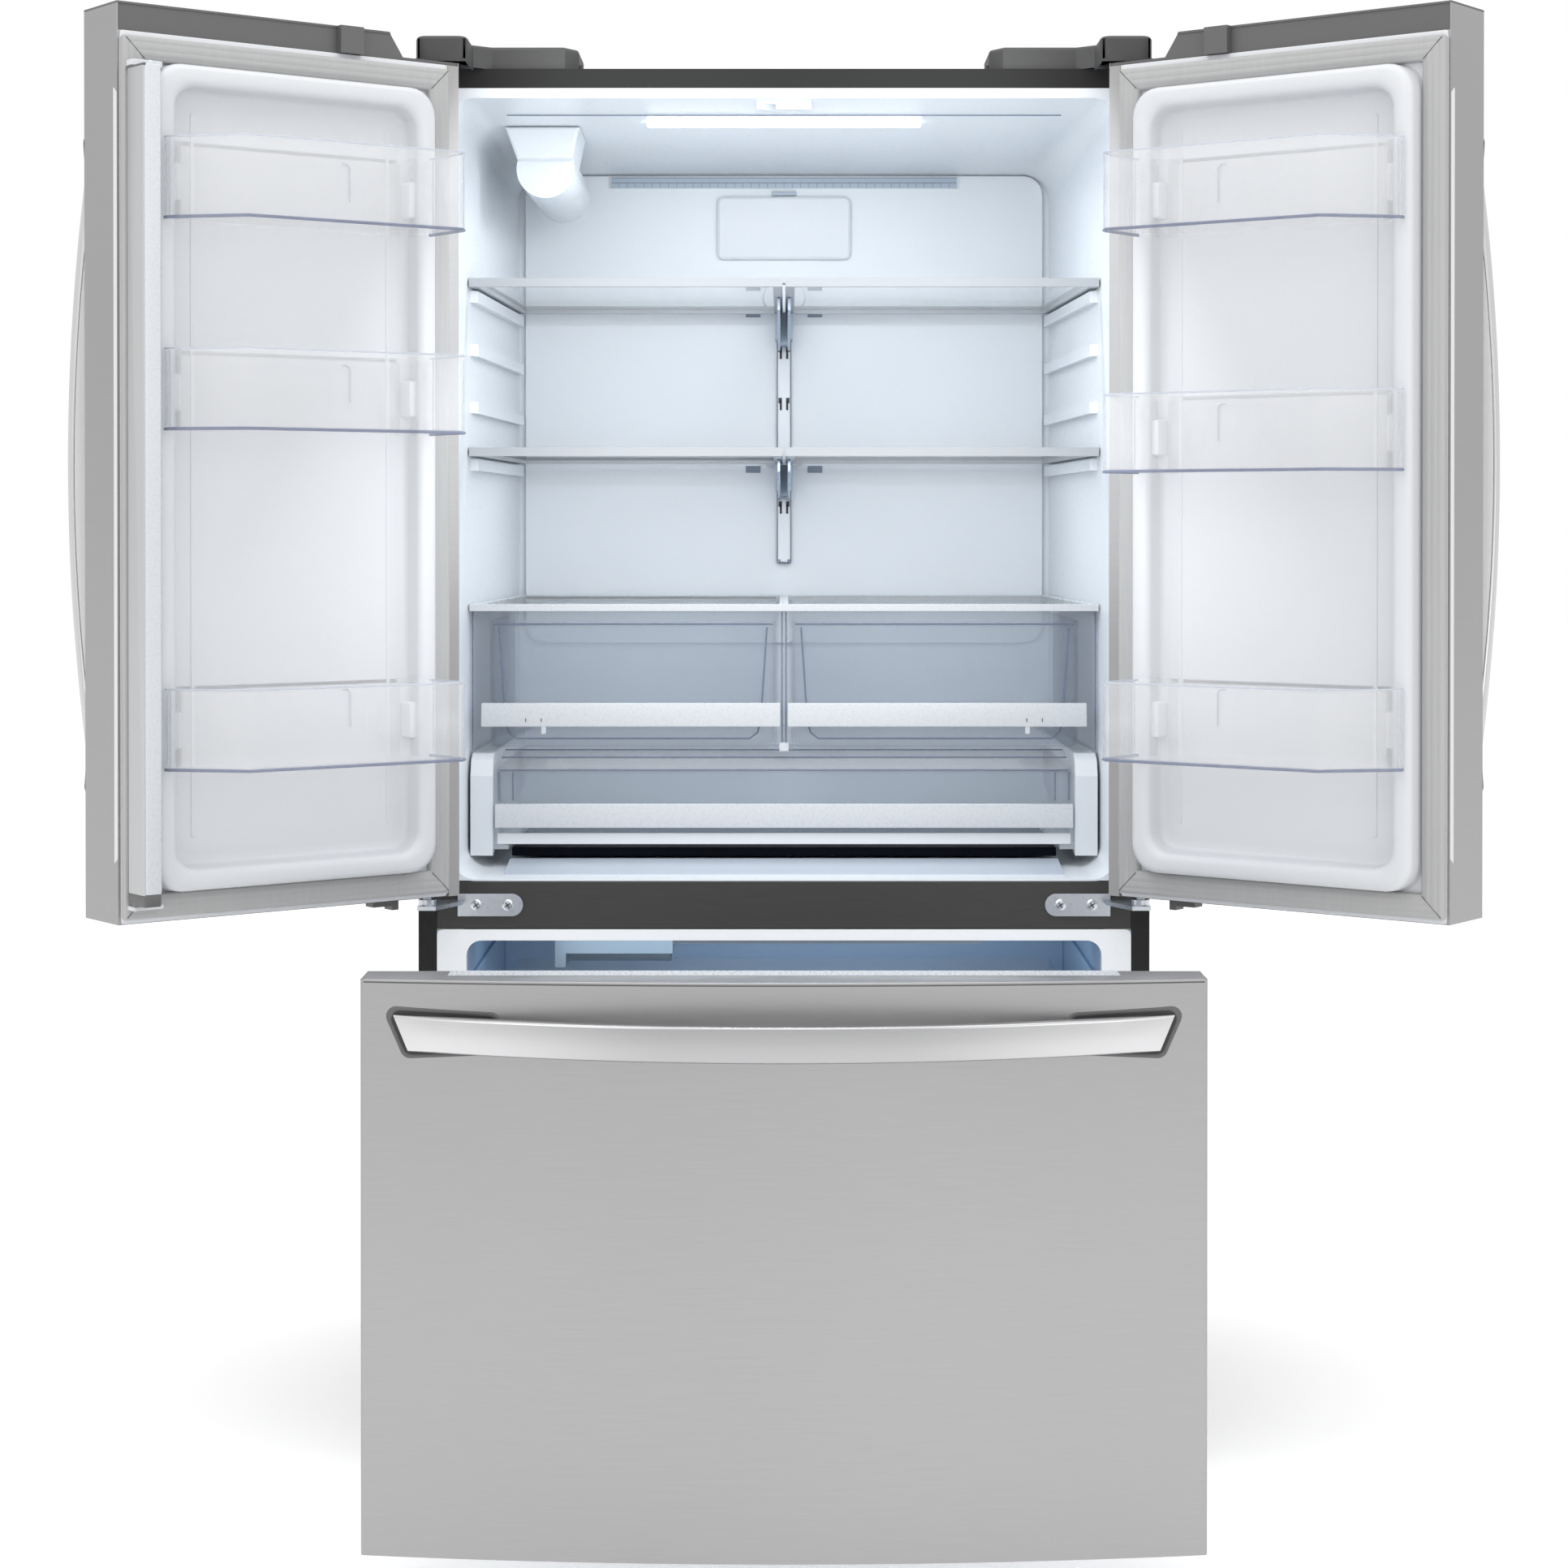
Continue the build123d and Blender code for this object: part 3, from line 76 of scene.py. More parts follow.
# ---- drawn sizes, mm ----------------------------------------------------------------------------
DOOR_HALF, DOOR_BACK, DOOR_FRONT, DOOR_BOW = 453.0, -12.0, -100.0, 30.0
DYKE_X, DYKE_Z, DYKE_Y = (-404.0, -38.0), (757.0, 1692.0), 20.0
LINER_X, LINER_Y, LINER_Z, SEAL_Z = (-434.0, -8.0), -10.0, (723.0, 1726.8), (728.0, 1721.0)
HANDLE_W, HANDLE_PROUD, HANDLE_THICK = 38.0, 64.0, 13.0
HANDLE_X, HANDLE_Z = (-52.0, -14.0), (868.0, 1612.0)
DRAWER_TOP, DRAWER_SEAL_X, DRAWER_SEAL_Z = 687.0, (-443.0, 443.0), (82.0, 680.0)
GRIP_HALF, GRIP_Z, SLANT = 417.0, (612.0, 650.0), 17.0
BIN_H = 93.0
BIN_LEVELS = {"left": (895.5, 1277.5, 1514.5), "right": (895.5, 1232.0, 1514.5)}
BIN_PLAN = (
    (-378, -9.5), (-64, -9.5), (-64, 22), (-44, 22), (-44, 30), (-108, 104), (-382, 111), (-392, 101),
    (-392, 22), (-378, 22),
)
MULLION_X, MULLION_Y, MULLION_Z = (-30.7, -9.0), (1.0, 46.0), (747.0, 1683.5)
MULLION_AXIS, KNOB_CENTRE, KNOB_RADIUS = (-16.25, 7.25), (-24.0, 32.0), 5.4
CRISPER_X, CRISPER_Y, CRISPER_Z = (8.0, 380.0), (136.0, 560.0), (885.0, 1048.0)
BAR_X, BAR_Z = (5.0, 388.0), (913.0, 943.0)
PANTRY_HALF, PANTRY_Y, PANTRY_Z = 370.0, (128.0, 570.0), (760.0, 858.0)
PANTRY_BAR_Z, LID_Y, LID_DEEP, LID_RISE = (784.0, 814.0), 127.0, 83.0, 19.0
FRIDGE_REAR, CEILING, CEILING_REAR = 660.0, 1701.0, 1681.0
SHELF_TOPS, CRISPER_TOP, LEDGE_Z = (1488.0, 1271.0), 1070.0, 881.7


def front_y(x):
    """The bowed outer face of doors and drawer."""
    radius = (DOOR_HALF**2 + DOOR_BOW**2) / (2 * DOOR_BOW)
    return DOOR_FRONT + radius - math.sqrt(radius**2 - x**2)


def wall_x(y):
    """Half width of the fresh food space."""
    return 410 - 24 * y / FRIDGE_REAR


def ceiling_z(y):
    """Height of the fresh food space, which slopes down to the rear."""
    return CEILING - (CEILING - CEILING_REAR) * y / FRIDGE_REAR


# ---- outlines -----------------------------------------------------------------------------------
def rect(u, v):
    return [(u[0], v[0]), (u[1], v[0]), (u[1], v[1]), (u[0], v[1])]


def inset(corners, distance):
    """A polygon drawn in by a distance along its mitred corners, or out where it is negative."""
    points = [Vector(c) for c in corners]
    area = sum(a.x * b.y - b.x * a.y for a, b in zip(points, points[1:] + points[:1]))
    sign = 1 if area > 0 else -1
    moved = []
    for before, here, after in zip(points[-1:] + points[:-1], points, points[1:] + points[:1]):
        into, out = (here - before).normalized(), (after - here).normalized()
        normal_in = Vector((-into.y, into.x)) * sign
        normal_out = Vector((-out.y, out.x)) * sign
        mitre = normal_in + normal_out
        moved.append(tuple(here + mitre * (distance / (0.5 * mitre.length_squared))))
    return moved


def rounded(corners, radius, steps=6):
    """A polygon with each corner turned into an arc."""
    points = [Vector(c) for c in corners]
    made = []
    for before, here, after in zip(points[-1:] + points[:-1], points, points[1:] + points[:1]):
        back, ahead = before - here, after - here
        half = back.angle(ahead) / 2
        reach = min(radius / math.tan(half), 0.49 * min(back.length, ahead.length))
        back.normalize()
        ahead.normalize()
        middle = here + (back + ahead).normalized() * (reach / math.cos(half))
        spoke = here + back * reach - middle
        turn = spoke.angle_signed(here + ahead * reach - middle)
        for step in range(steps + 1):
            arm = spoke.copy()
            arm.rotate(Matrix.Rotation(-turn * step / steps, 2))
            made.append(tuple(middle + arm))
    return made


BOX_FACES = ((0, 2, 3, 1), (4, 5, 7, 6), (0, 1, 5, 4), (2, 6, 7, 3), (0, 4, 6, 2), (1, 3, 7, 5))


class Draft:
    """Points and faces gathered in drawn millimetres, with a material number for each face."""

    def __init__(self):
        self.points, self.faces, self.paints = [], [], []

    def face(self, indices, paint=0):
        self.faces.append(indices)
        self.paints.append(paint)

    def block(self, x, y, z, paint=0):
        """A box between pairs of limits."""
        base = len(self.points)
        self.points += [(a, b, c) for c in z for b in y for a in x]
        for quad in BOX_FACES:
            self.face([base + corner for corner in quad], paint)

    def slab(self, near, far, z):
        """A slab between two stations along Y, each given as (y, x from, x to)."""
        base = len(self.points)
        for height in z:
            for y, x0, x1 in (near, far):
                self.points += [(x0, y, height), (x1, y, height)]
        for quad in BOX_FACES:
            self.face([base + corner for corner in quad])

    def rings(self, rings, first=True, last=True, paint=0):
        """Closed rings of equal length joined in order, with the first and last filled."""
        base, count = len(self.points), len(rings[0])
        for ring in rings:
            self.points += ring
        for level in range(len(rings) - 1):
            low = base + level * count
            for step in range(count):
                after = (step + 1) % count
                self.face([low + step, low + after, low + count + after, low + count + step], paint)
        if first:
            self.face([base + step for step in reversed(range(count))], paint)
        if last:
            top = base + (len(rings) - 1) * count
            self.face([top + step for step in range(count)], paint)

    def loft(self, corners, levels, place, first=True, last=True, paint=0):
        """Levels are (height, inset, corner radius) of one outline; place maps (u, v, height)."""
        rings = []
        for height, drawn_in, radius in levels:
            outline = rounded(inset(corners, drawn_in), radius) if radius else inset(corners, drawn_in)
            rings.append([place(u, v, height) for u, v in outline])
        self.rings(rings, first, last, paint)

    def rod(self, start, end, radius, sides=20, edge=0.0):
        """A round bar, its ends eased by edge."""
        start, end = Vector(start), Vector(end)
        along = (end - start).normalized()
        across = along.orthogonal().normalized()
        other = along.cross(across)
        stations = ((start, radius - edge), (start + along * edge, radius))
        stations += ((end - along * edge, radius), (end, radius - edge))
        if not edge:
            stations = ((start, radius), (end, radius))
        rings = []
        for centre, reach in stations:
            turns = [2 * math.pi * side / sides for side in range(sides)]
            rings.append(
                [tuple(centre + (across * math.cos(t) + other * math.sin(t)) * reach) for t in turns]
            )
        self.rings(rings)

    def wire(self, path, radius, sides=8):
        """A thin rod along a path of points."""
        points = [Vector(p) for p in path]
        rings = []
        for number, here in enumerate(points):
            along = (points[min(number + 1, len(points) - 1)] - points[max(number - 1, 0)]).normalized()
            across = along.cross(Vector((0.13, 0.91, 0.39))).normalized()
            other = along.cross(across)
            turns = [2 * math.pi * side / sides for side in range(sides)]
            rings.append([tuple(here + (across * math.cos(t) + other * math.sin(t)) * radius) for t in turns])
        self.rings(rings)


def circle(u, v, radius, steps):
    """Points round a circle."""
    turns = [2 * math.pi * step / steps for step in range(steps)]
    return [(u + math.cos(turn) * radius, v + math.sin(turn) * radius) for turn in turns]


def xz(u, v, height):
    """Outline in front view, height along Y."""
    return (u, height, v)


def xy(u, v, height):
    """Outline in plan, height along Z."""
    return (u, v, height)


def on_face(u, v, height):
    """Outline in front view on the bowed outer face, height measured outwards from it."""
    return (u, front_y(u) - height, v)


def piece(name, draft, materials, place, body, replaces=(), bevel=0.0, sharp=40.0):
    """Turn a draft into an object in the shared frame that rides on its body."""
    mesh = bpy.data.meshes.new(name)
    points = [place @ Vector(p) for p in draft.points]
    mirrored = place.determinant() < 0
    faces = [list(reversed(f)) if mirrored else f for f in draft.faces]
    mesh.from_pydata(points, [], faces)
    materials = materials if isinstance(materials, (list, tuple)) else [materials]
    for material in materials:
        mesh.materials.append(material)
    mesh.polygons.foreach_set("material_index", draft.paints)
    mesh.polygons.foreach_set("use_smooth", [True] * len(mesh.polygons))
    fix_normals(mesh)
    mesh.set_sharp_from_angle(angle=math.radians(sharp))
    made = bpy.data.objects.new(name, mesh)
    bpy.context.scene.collection.objects.link(made)
    if bevel:
        modifier = made.modifiers.new("eased edges", "BEVEL")
        modifier.width = bevel * MM
        modifier.segments = 2
        modifier.limit_method = "ANGLE"
        modifier.angle_limit = math.radians(35)
        modifier.harden_normals = True
    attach(made, body)
    if replaces:
        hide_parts(*replaces)


def fix_normals(mesh):
    """Faces of each closed shell all look outwards."""
    shell = bmesh.new()
    shell.from_mesh(mesh)
    bmesh.ops.recalc_face_normals(shell, faces=shell.faces)
    shell.to_mesh(mesh)
    shell.free()


# ---- materials ----------------------------------------------------------------------------------
def surface(
    name, colour, rough, metallic=0.0, grain=(1, 1, 1), scale=60.0, tint=0.04, spread=0.08, bump=0.05,
    depth=0.0004, cloud=4.0, **sockets
):
    """A finish with slow clouding, a fine grain that shades and roughens it, and a bump of that grain."""
    material = bpy.data.materials.new(name)
    material.use_nodes = True
    tree = material.node_tree
    shader = tree.nodes["Principled BSDF"]
    link = tree.links.new

    def add(kind, **settings):
        node = tree.nodes.new(kind)
        for key, value in settings.items():
            setattr(node, key, value)
        return node

    coordinates = add("ShaderNodeTexCoord")
    stretch = add("ShaderNodeMapping")
    stretch.inputs["Scale"].default_value = grain
    link(coordinates.outputs["Object"], stretch.inputs["Vector"])
    fine = add("ShaderNodeTexNoise")
    fine.inputs["Scale"].default_value = scale
    fine.inputs["Detail"].default_value = 4.0
    fine.inputs["Roughness"].default_value = 0.62
    link(stretch.outputs["Vector"], fine.inputs["Vector"])
    slow = add("ShaderNodeTexNoise")
    slow.inputs["Scale"].default_value = cloud
    slow.inputs["Detail"].default_value = 2.0
    link(coordinates.outputs["Object"], slow.inputs["Vector"])
    both = add("ShaderNodeMath", operation="ADD")
    link(fine.outputs["Fac"], both.inputs[0])
    link(slow.outputs["Fac"], both.inputs[1])
    share = add("ShaderNodeMapRange")
    share.inputs["From Min"].default_value = 0.6
    share.inputs["From Max"].default_value = 1.4
    link(both.outputs["Value"], share.inputs["Value"])
    paint = add("ShaderNodeMix", data_type="RGBA")
    paint.inputs["A"].default_value = [max(c * (1 - tint), 0.0) for c in colour] + [1]
    paint.inputs["B"].default_value = [min(c * (1 + tint), 1.0) for c in colour] + [1]
    link(share.outputs["Result"], paint.inputs["Factor"])
    link(paint.outputs["Result"], shader.inputs["Base Color"])
    polish = add("ShaderNodeMapRange")
    polish.inputs["To Min"].default_value = max(rough - spread, 0.02)
    polish.inputs["To Max"].default_value = min(rough + spread, 1.0)
    link(fine.outputs["Fac"], polish.inputs["Value"])
    link(polish.outputs["Result"], shader.inputs["Roughness"])
    relief = add("ShaderNodeBump")
    relief.inputs["Strength"].default_value = bump
    relief.inputs["Distance"].default_value = depth
    link(fine.outputs["Fac"], relief.inputs["Height"])
    link(relief.outputs["Normal"], shader.inputs["Normal"])
    shader.inputs["Metallic"].default_value = metallic
    for socket, value in sockets.items():
        shader.inputs[socket.replace("_", " ")].default_value = value
    return material


def paint_end_highlights(material, near, far, gain):
    """A finish that grows lighter along X: a painted highlight standing in for the brighter reflections on
    the turned-in ends of the drawer's bowed handle.
    """
    tree = material.node_tree
    shader = tree.nodes["Principled BSDF"]
    paint = shader.inputs["Base Color"].links[0].from_socket
    coordinates = tree.nodes.new("ShaderNodeTexCoord")
    parts = tree.nodes.new("ShaderNodeSeparateXYZ")
    tree.links.new(coordinates.outputs["Object"], parts.inputs["Vector"])
    reach = tree.nodes.new("ShaderNodeMath")
    reach.operation = "ABSOLUTE"
    tree.links.new(parts.outputs["X"], reach.inputs[0])
    share = tree.nodes.new("ShaderNodeMapRange")
    share.interpolation_type = "SMOOTHSTEP"
    share.inputs["From Min"].default_value = near
    share.inputs["From Max"].default_value = far
    share.inputs["To Max"].default_value = gain
    tree.links.new(reach.outputs["Value"], share.inputs["Value"])
    lift = tree.nodes.new("ShaderNodeMix")
    lift.data_type = "RGBA"
    lift.inputs["B"].default_value = (0.9, 0.9, 0.91, 1)
    tree.links.new(share.outputs["Result"], lift.inputs["Factor"])
    tree.links.new(paint, lift.inputs["A"])
    tree.links.new(lift.outputs["Result"], shader.inputs["Base Color"])


def see_through(name, colour, rough, ior, alpha, glassy=1.0):
    """Clear plastic or glass with faint flow marks in its polish. Part of the light passes straight on."""
    return surface(
        name, colour, rough, scale=9.0, tint=0.01, spread=rough * 0.3, bump=0.006, depth=0.0002,
        cloud=1.5, Transmission_Weight=glassy, IOR=ior, Alpha=alpha
    )


BRUSHED = (5.0, 5.0, 420.0)  # grain runs level and changes quickly with height
UPRIGHT = (420.0, 420.0, 5.0)  # grain runs up
steel = surface(
    "brushed_steel", (0.372, 0.369, 0.371), 0.36, 1.0, BRUSHED, 3.0, 0.07, 0.07, 0.10, cloud=1.2,
    Anisotropic=0.5
)
# The drawer handle's steel grows lighter towards its ends: a painted highlight.
handle_steel = surface(
    "handle_steel", (0.42, 0.42, 0.425), 0.24, 1.0, BRUSHED, 3.0, 0.05, 0.05, 0.06, cloud=2.0, Anisotropic=0.4
)
paint_end_highlights(handle_steel, 0.10, 0.40, 0.40)
# A lighter copy of the handle steel for the door pulls: painted light that brightens their reflections.
rod_steel = surface(
    "upright_handle_steel", (0.60, 0.60, 0.605), 0.24, 1.0, UPRIGHT, 3.0, 0.05, 0.05, 0.06, cloud=2.0,
    Anisotropic=0.4
)
# Near-white finish on the handles' inner faces: painted light where the steel bar's side towards the door
# sits in shade.
handle_back_painted_light = surface("handle_back_painted_light", (0.94, 0.94, 0.95), 0.5, 0.0, scale=300.0, bump=0.05, tint=0.03)
case_paint = surface(
    "case_paint", (0.047, 0.046, 0.045), 0.42, 0.0, BRUSHED, 3.0, 0.22, 0.10, 0.12, cloud=1.5,
    Specular_IOR_Level=0.25
)
side_paint = surface(
    "textured_case_paint", (0.016, 0.016, 0.016), 0.55, 0.0, (1, 1, 1), 520.0, 0.10, 0.12, 0.35, 0.0006,
    Specular_IOR_Level=0.2
)
liner_white = surface("liner_white", (0.745, 0.785, 0.825), 0.30, scale=300.0, bump=0.03, tint=0.015)
door_white = surface("door_liner_white", (0.60, 0.613, 0.635), 0.32, scale=260.0, bump=0.03, tint=0.015)
duct_white = surface("duct_cover_white", (0.755, 0.79, 0.825), 0.38, scale=420.0, bump=0.06, tint=0.015)
trim_white = surface("trim_white", (0.55, 0.572, 0.60), 0.28, scale=300.0, bump=0.01, tint=0.015)
# A darker copy of the trim white for the shelf frames: painted shade, set down where the inside wash light
# falls straight on them.
shelf_white_painted_shade = surface("shelf_edge_white_painted_shade", (0.40, 0.42, 0.445), 0.30, scale=300.0, bump=0.03, tint=0.015)
panel_white = surface("panel_white", (0.67, 0.70, 0.735), 0.30, scale=300.0, bump=0.03, tint=0.015)
flange_white = surface("flange_white", (0.82, 0.84, 0.86), 0.35, scale=300.0, bump=0.03, tint=0.015)
# A grey-blue copy of the liner white for the floor lip under the pantry drawer: painted shade.
floor_lip_painted_shade = surface("floor_lip_painted_shade", (0.42, 0.47, 0.54), 0.35, scale=300.0, bump=0.03, tint=0.015)
ice_grey = surface("ice_maker_grey", (0.15, 0.18, 0.205), 0.35, scale=300.0, bump=0.03, tint=0.03)
freezer_blue = surface("freezer_liner", (0.40, 0.53, 0.68), 0.36, scale=260.0, bump=0.04, tint=0.03)
gasket = surface(
    "gasket_vinyl", (0.375, 0.375, 0.376), 0.50, 0.0, (60.0, 60.0, 3.0), 4.0, 0.06, 0.08, 0.15, 0.0004
)
strip_grey = surface("edge_strip", (0.62, 0.62, 0.63), 0.35, scale=260.0, bump=0.04, tint=0.02)
# Dark finish for creases, seams and screw recesses, where it is painted shade, and for the crisper bar's real
# travel marks.
crease_shade_and_marks = surface("painted_crease_shade_and_marks", (0.09, 0.09, 0.088), 0.7, scale=500.0, bump=0.2, tint=0.2)
cap_grey = surface("cap_grey", (0.098, 0.098, 0.099), 0.44, scale=620.0, bump=0.22, tint=0.05)
cover_grey = surface("cover_grey", (0.046, 0.046, 0.046), 0.55, scale=700.0, bump=0.30, tint=0.05)
# Real black plastic parts; also the pocket floors and shelf slots, where the black is painted shade.
black_plastic_and_hollow_shade = surface("black_plastic_and_hollow_shade", (0.022, 0.022, 0.024), 0.45, scale=600.0, bump=0.25, tint=0.2)
# Near-black blue for the gap under the pantry drawer: a painted shadow.
painted_shadow_blue = surface(
    "shadow_blue", (0.002, 0.003, 0.006), 0.6, scale=90.0, bump=0.05, tint=0.4, Specular_IOR_Level=0.05
)
vent_blue = surface("vent_blue", (0.42, 0.49, 0.57), 0.45, scale=300.0, bump=0.1, tint=0.05)
edge_blue = surface("rear_edge_blue", (0.10, 0.12, 0.17), 0.35, 0.4, scale=300.0, bump=0.05, tint=0.05)
vent_dark = surface("vent_dark", (0.22, 0.27, 0.34), 0.5, scale=300.0, bump=0.1, tint=0.1)
ladder_grey = surface("ladder_zinc", (0.55, 0.63, 0.76), 0.30, 0.6, (1, 1, 1), 160.0, 0.08, 0.10, 0.10)
zinc = surface("zinc_plate", (0.58, 0.61, 0.66), 0.30, 1.0, (1, 1, 1), 190.0, 0.08, 0.08, 0.05, cloud=12.0)
galvanised = surface(
    "galvanised", (0.50, 0.51, 0.52), 0.45, 0.9, (1, 1, 1), 34.0, 0.22, 0.16, 0.05, cloud=12.0
)
mullion_metal = surface("mullion_metal", (0.47, 0.475, 0.48), 0.40, 0.55, UPRIGHT, 3.0, 0.05, 0.08, 0.06)
rail_steel = surface("rail_steel", (0.60, 0.61, 0.63), 0.30, 1.0, (300.0, 4.0, 300.0), 2.0, 0.08, 0.08, 0.08)
coil_metal = surface(
    "coil_aluminium", (0.68, 0.69, 0.70), 0.34, 1.0, (4.0, 300.0, 300.0), 2.0, 0.12, 0.1, 0.1
)
pump_paint = surface("pump_paint", (0.018, 0.018, 0.019), 0.30, scale=150.0, bump=0.12, tint=0.3)
foam = surface("foam", (0.66, 0.64, 0.58), 0.85, scale=240.0, bump=0.6, depth=0.002, tint=0.10)
clear = see_through("clear_plastic", (0.96, 0.97, 0.99), 0.05, 1.30, 0.20, 0.5)
# Darker and lighter, less clear copies of the clear plastic for edge lines and rims: painted shade and
# painted highlights where the plastic is seen edge-on.
clear_edge_painted_shade = see_through("clear_plastic_edge_painted_shade", (0.22, 0.25, 0.36), 0.12, 1.45, 0.72, 0.3)
clear_rim_painted_highlight = see_through("clear_plastic_rim_painted_highlight", (0.62, 0.66, 0.74), 0.10, 1.45, 0.55, 0.3)
smoky = see_through("smoky_plastic", (0.66, 0.75, 0.87), 0.06, 1.30, 0.16, 0.3)
glass = see_through("shelf_glass", (0.93, 0.97, 0.985), 0.02, 1.30, 0.25, 0.6)
lamp_glow = surface(
    "lamp_lens", (0.95, 0.97, 1.0), 0.4, scale=200.0, bump=0.03, Emission_Color=(0.93, 0.97, 1.0, 1),
    Emission_Strength=6.0
)
floor_pale = surface(
    "floor", (0.98, 0.98, 0.98), 0.75, scale=3.0, tint=0.01, bump=0.01, spread=0.03,
    Emission_Color=(1, 1, 1, 1), Emission_Strength=0.16
)

CAD_FINISH = {
    side_paint: ["cabinet_shell"],
    case_paint: ["divider_trim"],
    galvanised: ["rear_panel", "base_pan"],
    foam: ["cabinet_insulation", "left_door_insulation", "right_door_insulation", "drawer_insulation"],
    liner_white: ["fridge_liner", "filter_housing"],
    door_white: ["drawer_liner"],
    freezer_blue: ["freezer_liner", "evaporator_cover"],
    duct_white: ["air_duct_cover"],
    trim_white: ["left_humidity_slider", "right_humidity_slider"],
    shelf_white_painted_shade: ["shelf_frames"],
    panel_white: ["pantry_guides"],
    ice_grey: ["ice_maker"],
    pump_paint: ["compressor"],
    coil_metal: ["condenser", "evaporator"],
    black_plastic_and_hollow_shade: ["rear_grille", "kick_plate", "evaporator_fan", "condenser_fan", "rear_rollers"],
    cover_grey: ["hinge_covers"],
    cap_grey: ["left_door_caps", "right_door_caps"],
    zinc: ["door_hinges", "left_levelling_leg", "right_levelling_leg"],
    lamp_glow: ["ceiling_lamp"],
    glass: ["shelf_glass"],
    rail_steel: ["freezer_outer_rails", "freezer_middle_rails", "drawer_inner_rails"],
    steel: ["left_door_skin", "right_door_skin", "drawer_skin"],
    clear: ["freezer_tray", "drawer_basket"],
}
for finish, nodes in CAD_FINISH.items():
    for node in nodes:
        mesh = frame["nodes"][node].data
        mesh.materials.clear()
        mesh.materials.append(finish)


# ---- doors --------------------------------------------------------------------------------------
def door_liner(side):
    """Moulded inner face: a soft raised ring round a shallow recess, with bosses that carry the bins."""
    draft = Draft()
    draft.loft(
        rect(LINER_X, LINER_Z), [(DOOR_BACK, 0, 3), (LINER_Y - 0.4, 0, 3), (LINER_Y, 0.6, 3)], xz
    )
    levels = [
        (LINER_Y - 1, -3, 36), (LINER_Y, -2.4, 36), (-8, -0.8, 35), (-4, 0, 34), (12, 0.3, 33), (16, 1.5, 32),
        (18.8, 4, 31), (DYKE_Y, 7.5, 30), (DYKE_Y, 16.2, 28), (18.8, 20.6, 27), (16, 23.8, 26),
        (12, 25.4, 26), (-3, 26.4, 25), (-7, 28.4, 24), (-9, 32, 22), (-9.5, 40, 18),
    ]
    draft.loft(rect(DYKE_X, DYKE_Z), levels, xz, first=False)
    for level in BIN_LEVELS[side]:
        for x in ((-381, -369), (-73, -61)):  # hooks on both inner sides of the ring
            draft.loft(
                rect(x, (level + 22, level + 66)),
                [(-10, 0, 4), (9, 0.4, 4), (11.5, 1.6, 3.4), (12, 3.2, 2)], xz, first=False,
            )
    for x in (-352, -96):  # long shallow steps down the recess
        draft.loft(rect((x - 3, x + 3), (815, 1640)), [(-10, 0, 2.5), (-8.6, 0.8, 2.2)], xz, first=False)
    if side == "left":
        for z0, z1 in ((740, 744.6), (1685, 1692)):  # ears that carry the mullion
            levels = [(z0, 0.6, 4), (z0 + 0.6, 0, 4), (z1 - 0.6, 0, 4), (z1, 0.6, 4)]
            draft.loft(rect((-50, -11), (-8, 13)), levels, xy)
    return draft


def gasket_ring(x, z):
    """Magnetic gasket: a soft frame with fine grooves along it and mitred corners."""
    profile = [
        (-10, 0, 4), (-5, 0, 4), (-2.4, 0.7, 4), (-1.1, 2.2, 4), (-0.8, 6.0, 4), (-1.2, 7.0, 4),
        (-0.6, 8.0, 3), (-0.6, 14.6, 3), (-1.0, 15.4, 3), (-0.6, 16.2, 3), (-0.8, 21.6, 2),
        (-1.6, 22.6, 2), (-1.3, 24.8, 2), (-3.2, 27.2, 2), (-10, 28, 2),
    ]
    draft = Draft()
    draft.loft(rect(x, z), profile, xz, first=False, last=False)
    # Thin dark strips across each mitred corner: painted shade along the mitre creases.
    for corner_x, step_x in ((x[0], 1), (x[1], -1)):
        for corner_z, step_z in ((z[0], 1), (z[1], -1)):
            near = Vector((corner_x + 2.5 * step_x, corner_z + 2.5 * step_z))
            far = Vector((corner_x + 26 * step_x, corner_z + 26 * step_z))
            side = Vector((step_z * 0.35, -step_x * 0.35))
            base = len(draft.points)
            for spot in (near - side, near + side, far + side, far - side):
                draft.points.append((spot.x, -0.55, spot.y))
            draft.face([base, base + 1, base + 2, base + 3], 1)
    return draft


def arc_y(s, ends, y_end, y_middle):
    """Depth of a shallow arc over the span, y_end at its ends and y_middle half way."""
    half, rise = (ends[1] - ends[0]) / 2, y_end - y_middle
    radius = (half**2 + rise**2) / (2 * rise)
    return y_middle + radius - math.sqrt(max(radius**2 - (s - sum(ends) / 2) ** 2, 0))


HANDLE_TIP = DOOR_FRONT - HANDLE_PROUD
ROOT = 46.0  # length of a handle's foot


